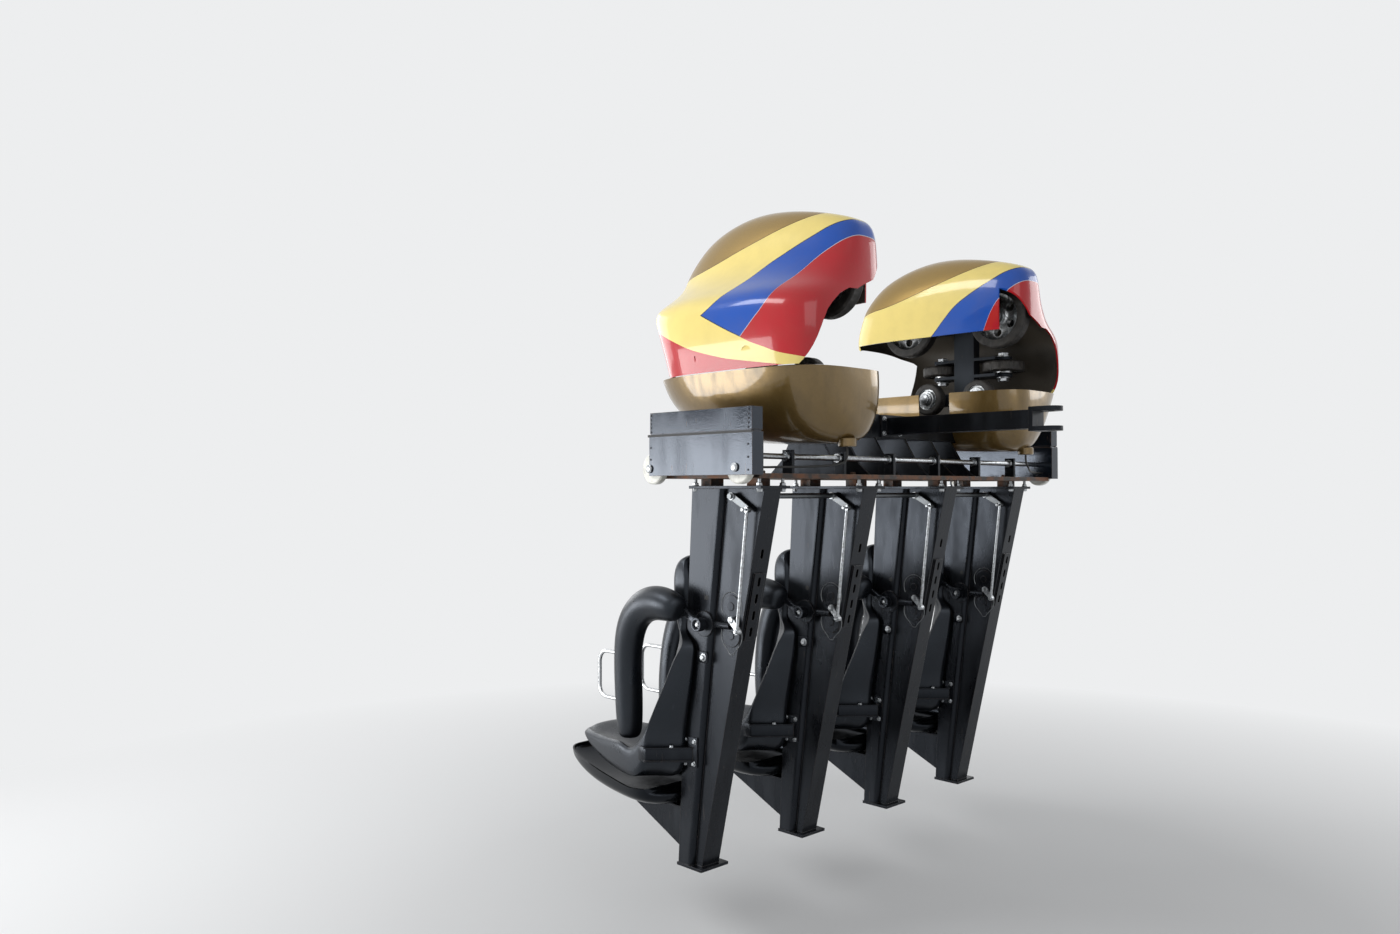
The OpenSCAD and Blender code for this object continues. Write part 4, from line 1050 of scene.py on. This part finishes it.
class CAR_OT_chassis(bpy.types.Operator):
    """Beam, couplings, carriers, deck and release gear, with their bolts"""
    bl_idname = "car.chassis"
    bl_label = "Chassis"

    def execute(self, context):
        paint_nodes("black_machine_paint", "cross_beam", "drawbar", "coupling_clevis", "deck_frame")
        paint_nodes("rusty_rolled_plate", "deck_plate")
        paint_nodes("grey_cast_steel_paint", "carrier_left", "carrier_right")
        paint_nodes("zinc_plated_steel", "release_rods", "lock_shaft")
        paint_nodes("dull_drawn_steel", "release_shaft")
        self.add_flange_bolts()
        self.add_axle_nuts()
        self.add_deck_bolts()
        self.add_release_caps()
        return {"FINISHED"}

    def add_flange_bolts(self):
        """Four bolts in each of the flanges by which drawbar and clevis sit on the beam."""
        low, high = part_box("cross_beam")
        corners = [(x, -0.345 + z) for x in (-0.062, 0.062) for z in (-0.034, 0.034)]
        heads = [bolts([(x, y, z) for x, z in corners], (0, way, 0), 0.018, 0.009)
                 for y, way in ((low.y - 0.012, -1), (high.y + 0.012, 1))]
        settle(joined(heads), "coupling_flange_bolts", "zinc_plated_steel", "chassis", "zinc_steel")

    def add_axle_nuts(self):
        """Nuts at the inner ends of running and upstop axles, and over and under the side wheels."""
        for name, side in SIDES.items():
            # Place, distance from the wheels' middle, axis, width and height
            kinds = (
                (side * (RAIL_X - 0.045), 0.27, 0.235, (-side, 0, 0), 0.046, 0.016),
                (side * (RAIL_X - 0.040), 0.15, -0.163, (-side, 0, 0), 0.046, 0.014),
                (side * 0.863, 0.185, 0.054, (0, 0, 1), 0.05, 0.02),
                (side * 0.863, 0.185, -0.054, (0, 0, -1), 0.05, 0.02))
            nuts = [bolts([(x, WHEELS_Y + end * apart, z) for end in (-1, 1)], axis, width, height, 1.1)
                    for x, apart, z, axis, width, height in kinds]
            settle(joined(nuts), "axle_nuts_" + name, "zinc_plated_steel", "chassis", "zinc_steel")

    def add_deck_bolts(self):
        """Studs that hold each hanger's top plate under the deck, and bolts beside the clamp blocks."""
        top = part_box("hanger_1")[1].z
        for seat in SEATS:
            corners = [(middle_x(seat) + out, y) for out in (-0.07, 0.07) for y in (-0.18, 0.19)]
            pieces = [turned((x, y, top + 0.012), (0, 0, 1), 0.007, 0.034, (), 16) for x, y in corners]
            for z, way in ((top, 1), (top - 0.012, -1)):
                pieces.append(bolts([(x, y, z) for x, y in corners], (0, 0, way), 0.022, 0.012))
            settle(joined(pieces), f"hanger_studs_{seat}", "zinc_plated_steel", "chassis", "zinc_steel")
        deck_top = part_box("deck_plate")[1].z
        heads = bolts([(middle_x(seat) + out, y, deck_top) for seat in SEATS for out in (-0.022, 0.022)
                       for y in (-0.15, 0.12)], (0, 0, 1), 0.024, 0.013)
        settle(heads, "clamp_bolts", "rusty_rolled_plate", "chassis", "worn_plate")

    def add_release_caps(self):
        """Bright pins and washers at the release levers' ends."""
        # Distance from the seat's middle, y, z, radius, thickness, step at the end and sides
        kinds = (
            (0.108, 0.131, -0.727, 0.0085, 0.007, (0.006, 0.002), 20),
            (0.0905, 0.073, -1.227, 0.009, 0.006, (0.0065, 0.002), 20),
            (0.076, 0.036, -0.673, 0.017, 0.004, (0.013, 0.001), 28),
            (0.076, 0.031, -1.183, 0.014, 0.004, (0.010, 0.001), 28))
        caps = [turned((middle_x(seat) + out, y, z), (1, 0, 0), radius, thick, (step,), sides)
                for seat in SEATS for out, y, z, radius, thick, step, sides in kinds]
        settle(joined(caps), "release_pins", "zinc_plated_steel", "chassis", "zinc_steel")


class CAR_OT_wheels(bpy.types.Operator):
    """Running, side and upstop wheels: turned aluminium hubs with cast tyres"""
    bl_idname = "car.wheels"
    bl_label = "Wheels"

    def execute(self, context):
        # Axis, and radius where the tyre meets the hub
        kinds = {"running_wheel": (0, 0.118), "side_wheel": (2, 0.0762), "upstop_wheel": (0, 0.0566)}
        for kind, (axis, joint) in kinds.items():
            for corner in CORNERS:
                self.add_wheel(f"{kind}_{corner}", axis, joint)
        return {"FINISHED"}

    def add_wheel(self, node, axis, joint):
        """The node's own shape, parted into tyre and hub, with both closed where they meet."""
        low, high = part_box(node)
        centre = (low + high) / 2
        wheel = node_copy(node)
        across = [k for k in range(3) if k != axis]

        def reach(point):
            """How far a point lies from the wheel's axis."""
            return math.hypot(*(point[k] - centre[k] for k in across))

        bpy.ops.object.mode_set(mode="EDIT")
        mesh = bmesh.from_edit_mesh(wheel.data)
        for face in mesh.faces:
            face.select = all(reach(v.co) > joint - 0.0008 for v in face.verts)
        bmesh.update_edit_mesh(wheel.data)
        bpy.ops.mesh.separate(type="SELECTED")
        bpy.ops.object.mode_set(mode="OBJECT")
        halves = [p for p in bpy.context.selected_objects if p.type == "MESH"]
        for piece in halves:
            activate(piece)
            bpy.ops.object.mode_set(mode="EDIT")
            bpy.ops.mesh.select_all(action="DESELECT")
            bpy.ops.mesh.select_mode(type="EDGE")
            bpy.ops.mesh.select_non_manifold()
            bpy.ops.mesh.bridge_edge_loops()
            bpy.ops.mesh.select_all(action="SELECT")
            bpy.ops.mesh.normals_make_consistent(inside=False)
            bpy.ops.object.mode_set(mode="OBJECT")
            bpy.ops.object.shade_smooth_by_angle(angle=math.radians(30))
        tyre, hub = sorted(halves, key=lambda p: -max(reach(v.co) for v in p.data.vertices))
        settle(tyre, node + "_tyre", "cast_polyurethane", node, "wheel_mix", node)
        settle(hub, node + "_hub", "turned_aluminium", node, "wheel_mix", node)


class CAR_OT_hangers(bpy.types.Operator):
    """Tapered hangers that carry the seats, with the fittings on their sides"""
    bl_idname = "car.hangers"
    bl_label = "Hangers"

    def execute(self, context):
        for seat in SEATS:
            x = middle_x(seat)
            paint_nodes("black_hanger_paint", f"hanger_{seat}")
            plug = turned((x + 0.0748, -0.108, -1.10), (1, 0, 0), 0.0105, 0.001, ((0.0095, 0.0),), 24)
            settle(plug, f"hanger_plug_{seat}", "black_rubber_and_painted_shadow", "chassis", "black_steel")
            self.add_side_fittings(seat, x)
            self.add_bolts(seat, x)
        return {"FINISHED"}

    def add_side_fittings(self, seat, x):
        """Weld beads round the two plugs on the channel, and the tabs to the seat."""
        upper = arc((0.014, -1.130), 0.060, -30, 210, 15)
        lower = arc((0.014, -1.250), 0.060, 20, -50, -10)
        lower += [(0.036, -1.312), (0.022, -1.330), (0.006, -1.330), (-0.010, -1.312)]
        lower += arc((0.014, -1.250), 0.060, 230, 160, -10)
        beads = [wire([(x + 0.0505, *point) for point in line], 0.0022, 6) for line in (upper, lower)]
        settle(joined(beads), f"weld_beads_{seat}", "rubbed_weld_bead", "chassis", "black_steel")
        tab = [(-0.160, -1.376), (-0.104, -1.376), (-0.098, -1.368), (-0.098, -1.336), (-0.104, -1.328),
               (-0.160, -1.328)]
        tabs = [slab(tab, 0, x + side * 0.075, x + side * 0.082, 0.0015) for side in (-1, 1)]
        settle(joined(tabs), f"seat_tabs_{seat}", "black_hanger_paint", "chassis", "black_steel")

    def add_bolts(self, seat, x):
        """Bolts in the tabs, on the straps' lips and in the plates that tie the straps to the hanger."""
        plate = ((-0.176, -1.716), (-0.232, -1.713), (-0.180, -1.809), (-0.232, -1.812))
        heads = []
        for side in (-1, 1):
            heads.append(bolts([(x + side * 0.082, -0.122, -1.352)], (side, 0, 0), 0.020, 0.011, 1.3))
            heads.append(bolts([(x + side * 0.148, -0.248, -1.739)], (0, 0, 1), 0.015, 0.008, 1.2))
            heads.append(bolts([(x + side * 0.082, y, z) for y, z in plate], (side, 0, 0), 0.015, 0.008,
                               1.15))
        settle(joined(heads), f"fitting_bolts_{seat}", "zinc_plated_steel", "chassis", "zinc_steel")


# Stations of a tray in millimetres, from its front tip to its closed rear: y, heights of rim and belly, and
# half width
TRAY_STATIONS = (
    (-1000, -1858, -1870, 58), (-990, -1859, -1889, 102), (-952, -1865, -1914, 140),
    (-880, -1875, -1946, 168), (-790, -1887, -1977, 190), (-680, -1902, -2000, 206),
    (-560, -1917, -2010, 218), (-470, -1928, -2013, 225), (-400, -1931, -2013, 227),
    (-330, -1928, -2010, 226), (-292, -1926, -2000, 220), (-276, -1925, -1975, 212),
    (-270, -1924, -1944, 205))
TRAY_WALL = 0.007


def tray_shell(x):
    """The smooth wall of a tray through its stations; its rear wall runs forward towards its corners."""
    rings = []
    for y, rim, belly, half in TRAY_STATIONS:
        ring = []
        for k in range(-8, 9):
            angle = math.radians(90 * k / 8)
            out = half * math.copysign(abs(math.sin(angle)) ** 0.8, angle)
            drop = (rim - belly) * max(math.cos(angle), 0.0) ** 0.55
            slant = 90 * max(0.0, (y + 470) / 200) * (abs(out) / 226) ** 2.5
            ring.append((x * 1000 + out, y - slant, rim - drop))
        rings.append(ring)
    piece = lofted(rings, closed=False)
    # A face low in the belly, which has to look down
    if piece.data.polygons[7].normal.z > 0:
        piece.data.flip_normals()
    smoothed(piece)
    wall = piece.modifiers.new("Wall", "SOLIDIFY")
    wall.thickness = TRAY_WALL
    wall.offset = -1.0
    bpy.ops.object.modifier_apply(modifier=wall.name)
    return piece


# Stations of a seat in millimetres: y and z of its middle, turn of the station's plane from level (0) to
# upright (90), half width, how far its edges stand forward, depth at the middle, depth at the side, and how
# far down the side stays flat before it slants back to the hanger
SEAT_STATIONS = (
    (-262, -925, 40, 45, -6, 22, 22, 8), (-312, -945, 22, 70, -14, 70, 68, 54),
    (-338, -1000, 6, 82, -20, 118, 116, 102), (-338, -1100, 0, 82, -22, 116, 110, 96),
    (-325, -1200, 0, 82, -24, 98, 90, 76), (-312, -1258, 0, 96, -44, 82, 78, 64),
    (-308, -1296, 0, 126, -98, 76, 150, 116), (-306, -1350, 0, 150, -68, 71, 140, 86),
    (-306, -1420, 0, 168, -48, 68, 134, 66), (-310, -1490, 0, 186, -34, 68, 126, 52),
    (-314, -1560, 2, 203, -12, 69, 118, 30), (-322, -1625, 4, 212, 6, 73, 112, 12),
    (-334, -1690, 8, 219, 24, 80, 112, -6), (-362, -1762, 36, 222, 44, 82, 186, 26),
    (-416, -1812, 66, 222, 52, 76, 92, 78), (-466, -1822, 78, 220, 60, 70, 76, 62),
    (-520, -1820, 88, 213, 74, 66, 70, 56), (-620, -1800, 97, 196, 44, 72, 76, 62),
    (-740, -1762, 101, 170, 2, 78, 80, 66), (-815, -1738, 108, 150, -20, 82, 72, 58),
    (-852, -1738, 120, 128, -22, 66, 60, 46), (-868, -1750, 132, 104, -18, 46, 44, 32))
# How firm the edges of the seat's outline are, by the place of their point in it
SEAT_CREASES = {4: 0.35, 5: 0.35, 6: 0.7, 8: 0.6, 15: 0.35, 14: 0.35, 13: 0.7, 11: 0.6}


def seat_ring(x, station):
    """A seat's outline in a station's plane, half of it mirrored to the other side."""
    y, z, turn, half, wing, middle, side, flat = station
    edge = min(30, half * 0.3)
    notch = min(half - 14, 89)
    profile = [
        (0, 0), (0.3 * half, 0.02 * wing), (0.62 * half, 0.3 * wing), (half - edge, 0.92 * wing),
        (half - edge * 0.4, wing), (half, wing - edge * 0.6), (half, -flat),
        (half - 0.3 * (half - notch), -flat - 0.36 * (side - flat)), (notch + 2, -side), (notch - 6, -middle)]
    profile += [(-out, lift) for out, lift in reversed(profile[1:])]
    turn = math.radians(turn)
    return [(x * 1000 + out, y - lift * math.cos(turn), z + lift * math.sin(turn)) for out, lift in profile]


class CAR_OT_seats(bpy.types.Operator):
    """Foam seats, the trays under them and the straps beside them"""
    bl_idname = "car.seats"
    bl_label = "Seats"

    def execute(self, context):
        straps = []
        for seat in SEATS:
            x = middle_x(seat)
            shell = smoothed(lofted([seat_ring(x, station) for station in SEAT_STATIONS], SEAT_CREASES))
            settle(shell, f"foam_seat_{seat}", "integral_skin_foam", "chassis", "foam", f"seat_{seat}")
            settle(tray_shell(x), f"moulded_tray_{seat}", "thermoformed_abs", "chassis", "tray_shell",
                   f"seat_tray_{seat}")
            bpy.ops.object.shade_smooth_by_angle(angle=math.radians(40))
            for side in (-1, 1):
                straps += self.strap(x, side)
        settle(joined(straps), "seat_straps", "black_hanger_paint", "chassis", "black_steel", "seat_brackets")
        bpy.ops.object.shade_smooth_by_angle(angle=math.radians(30))
        return {"FINISHED"}

    def strap(self, x, side):
        """A channel that grips the seat's side and slants in to a plate on the hanger's side."""
        web = [(0.2225, -0.368), (0.2305, -0.368), (0.2305, -0.321), (0.0835, -0.186), (0.0755, -0.194),
               (0.2225, -0.329)]
        lip = [(0.2225, -0.340), (0.2400, -0.326), (0.2400, -0.318), (0.0890, -0.179), (0.0760, -0.187)]
        web, lip = ([(x + side * out, y) for out, y in outline] for outline in (web, lip))
        plate = [(-0.246, -1.700), (-0.160, -1.696), (-0.160, -1.822), (-0.246, -1.826)]
        low, high = -1.801, -1.739
        return [
            slab(web, 2, low, high, 0.0015),
            slab(lip, 2, high - 0.005, high, 0.001),
            slab(lip, 2, low, low + 0.005, 0.001),
            slab(plate, 0, x + side * 0.0752, x + side * 0.082, 0.0015)]


# Route of a shoulder pad in millimetres from its arm over the shoulder to the lap: y, z, distance from the
# seat's middle, half width and half thickness
PAD_ROUTE = (
    (-196, -1156, 146, 24, 24), (-200, -1154, 148, 42, 44), (-212, -1150, 151, 54, 58),
    (-240, -1142, 154, 61, 68), (-285, -1134, 155, 65, 74), (-340, -1132, 155, 67, 77),
    (-400, -1146, 155, 67, 78), (-455, -1180, 154, 66, 76), (-500, -1234, 152, 65, 73),
    (-530, -1310, 147, 64, 69), (-545, -1400, 139, 63, 65), (-549, -1490, 133, 64, 64),
    (-549, -1580, 129, 63, 64), (-546, -1670, 128, 60, 61), (-544, -1722, 128, 55, 56),
    (-544, -1744, 128, 42, 43), (-544, -1748, 128, 24, 24))
PAD_SIDES = 16


class CAR_OT_restraints(bpy.types.Operator):
    """Over-shoulder restraints: foam pads, black arms with their pivot eyes, and polished grips"""
    bl_idname = "car.restraints"
    bl_label = "Restraints"

    def execute(self, context):
        for seat in SEATS:
            body = f"harness_{seat}"
            x = middle_x(seat)
            pads = joined([smoothed(lofted(self.pad_rings(x, side))) for side in (-1, 1)])
            settle(pads, f"foam_pads_{seat}", "integral_skin_foam", body, "foam", f"harness_pads_{seat}")
            self.add_arms(seat, x, body)
            self.add_grips(seat, x, body)
        return {"FINISHED"}

    def pad_rings(self, x, side):
        """Ovals across a pad's route, each square to the route's direction there."""
        rings = []
        for k, (y, z, out, wide, thick) in enumerate(PAD_ROUTE):
            before, after = PAD_ROUTE[max(k - 1, 0)], PAD_ROUTE[min(k + 1, len(PAD_ROUTE) - 1)]
            run = Vector((0, after[0] - before[0], after[1] - before[1])).normalized()
            up = run.cross(Vector((1, 0, 0)))
            middle = Vector((x * 1000 + side * out, y, z))
            angles = [2 * math.pi * j / PAD_SIDES for j in range(PAD_SIDES)]
            rings.append([middle + Vector((wide * math.cos(a), 0, 0)) + up * thick * math.sin(a)
                          for a in angles])
        return rings

    def add_arms(self, seat, x, body):
        """The pivot shaft, and on each side a boss, the arm into the pad and its eye with a sunk bolt."""
        y, z = PIVOT
        arm = [(y - 0.006, z + 0.026), (y - 0.030, z + 0.031), (-0.215, -1.138), (-0.260, -1.128),
               (-0.260, -1.150), (-0.218, -1.166), (y - 0.030, z + 0.001), (y - 0.022, z - 0.012)]
        sunk_hole = ((0.0275, 0.0015), (0.0205, 0.0015), (0.0185, -0.0005), (0.018, -0.012))
        pieces = [turned((x, y, z), (1, 0, 0), 0.015, 0.240, (), 32)]
        heads = []
        for side in (-1, 1):
            boss = turned((x + side * 0.092, y, z), (1, 0, 0), 0.024, 0.018, ((0.022, 0.001),), 40)
            bar = slab(arm, 0, x + side * 0.106, x + side * 0.128, 0.003)
            eye = turned((x + side * 0.118, y, z), (side, 0, 0), 0.029, 0.030, sunk_hole, 48)
            pieces += [boss, bar, eye]
            heads.append(bolts([(x + side * 0.120, y, z)], (side, 0, 0), 0.018, 0.008, 1.2))
        settle(joined(pieces), f"restraint_arms_{seat}", "black_arm_enamel", body, "restraint_steel",
               f"harness_frame_{seat}")
        settle(joined(heads), f"pivot_bolts_{seat}", "zinc_plated_steel", body, "zinc_steel")

    def add_grips(self, seat, x, body):
        """A bent tube on each pad, with a collar where each end goes into the foam."""
        back, front, high, low, bend = -0.590, -0.758, -1.382, -1.590, 0.050
        path = [(back, high), *arc((front + bend, high - bend), bend, 90, 180, 15),
                *arc((front + bend, low + bend), bend, 180, 270, 15), (back, low)]
        grips = []
        for side in (-1, 1):
            out = x + side * 0.128
            grips.append(wire([(out, y, z) for y, z in path], 0.0095))
            grips += [turned((out, -0.612, z), (0, 1, 0), 0.0135, 0.010, ((0.0115, 0.0015),), 24)
                      for z in (high, low)]
        settle(joined(grips), f"hand_grips_{seat}", "polished_stainless_tube", body, "restraint_steel",
               f"harness_frame_{seat}")


PIECES = (CAR_OT_stage, CAR_OT_covers, CAR_OT_guide_boxes, CAR_OT_chassis, CAR_OT_wheels, CAR_OT_hangers,
          CAR_OT_seats, CAR_OT_restraints)


class CAR_PT_pieces(bpy.types.Panel):
    """The car's pieces, sizes and colours"""
    bl_label = "Coaster car"
    bl_idname = "CAR_PT_pieces"
    bl_space_type = "VIEW_3D"
    bl_region_type = "UI"
    bl_category = "Coaster car"

    def draw(self, context):
        for operator in PIECES:
            self.layout.operator(operator.bl_idname)
        for group in (colours(), sizes()):
            for name in group.bl_rna.properties.keys():
                if name not in ("name", "rna_type"):
                    self.layout.prop(group, name)


CLASSES = (CoasterCarColours, CoasterCarSizes, *PIECES, CAR_PT_pieces)


def register():
    for each in CLASSES:
        bpy.utils.register_class(each)
    bpy.types.Scene.coaster_car_colours = bpy.props.PointerProperty(type=CoasterCarColours)
    bpy.types.Scene.coaster_car_sizes = bpy.props.PointerProperty(type=CoasterCarSizes)


def unregister():
    del bpy.types.Scene.coaster_car_sizes
    del bpy.types.Scene.coaster_car_colours
    for each in reversed(CLASSES):
        bpy.utils.unregister_class(each)


def main():
    """Builds the car's pieces around its frame."""
    register()
    for operator in PIECES:
        group, name = operator.bl_idname.split(".")
        getattr(getattr(bpy.ops, group), name)()


if __name__ == "__main__":
    main()
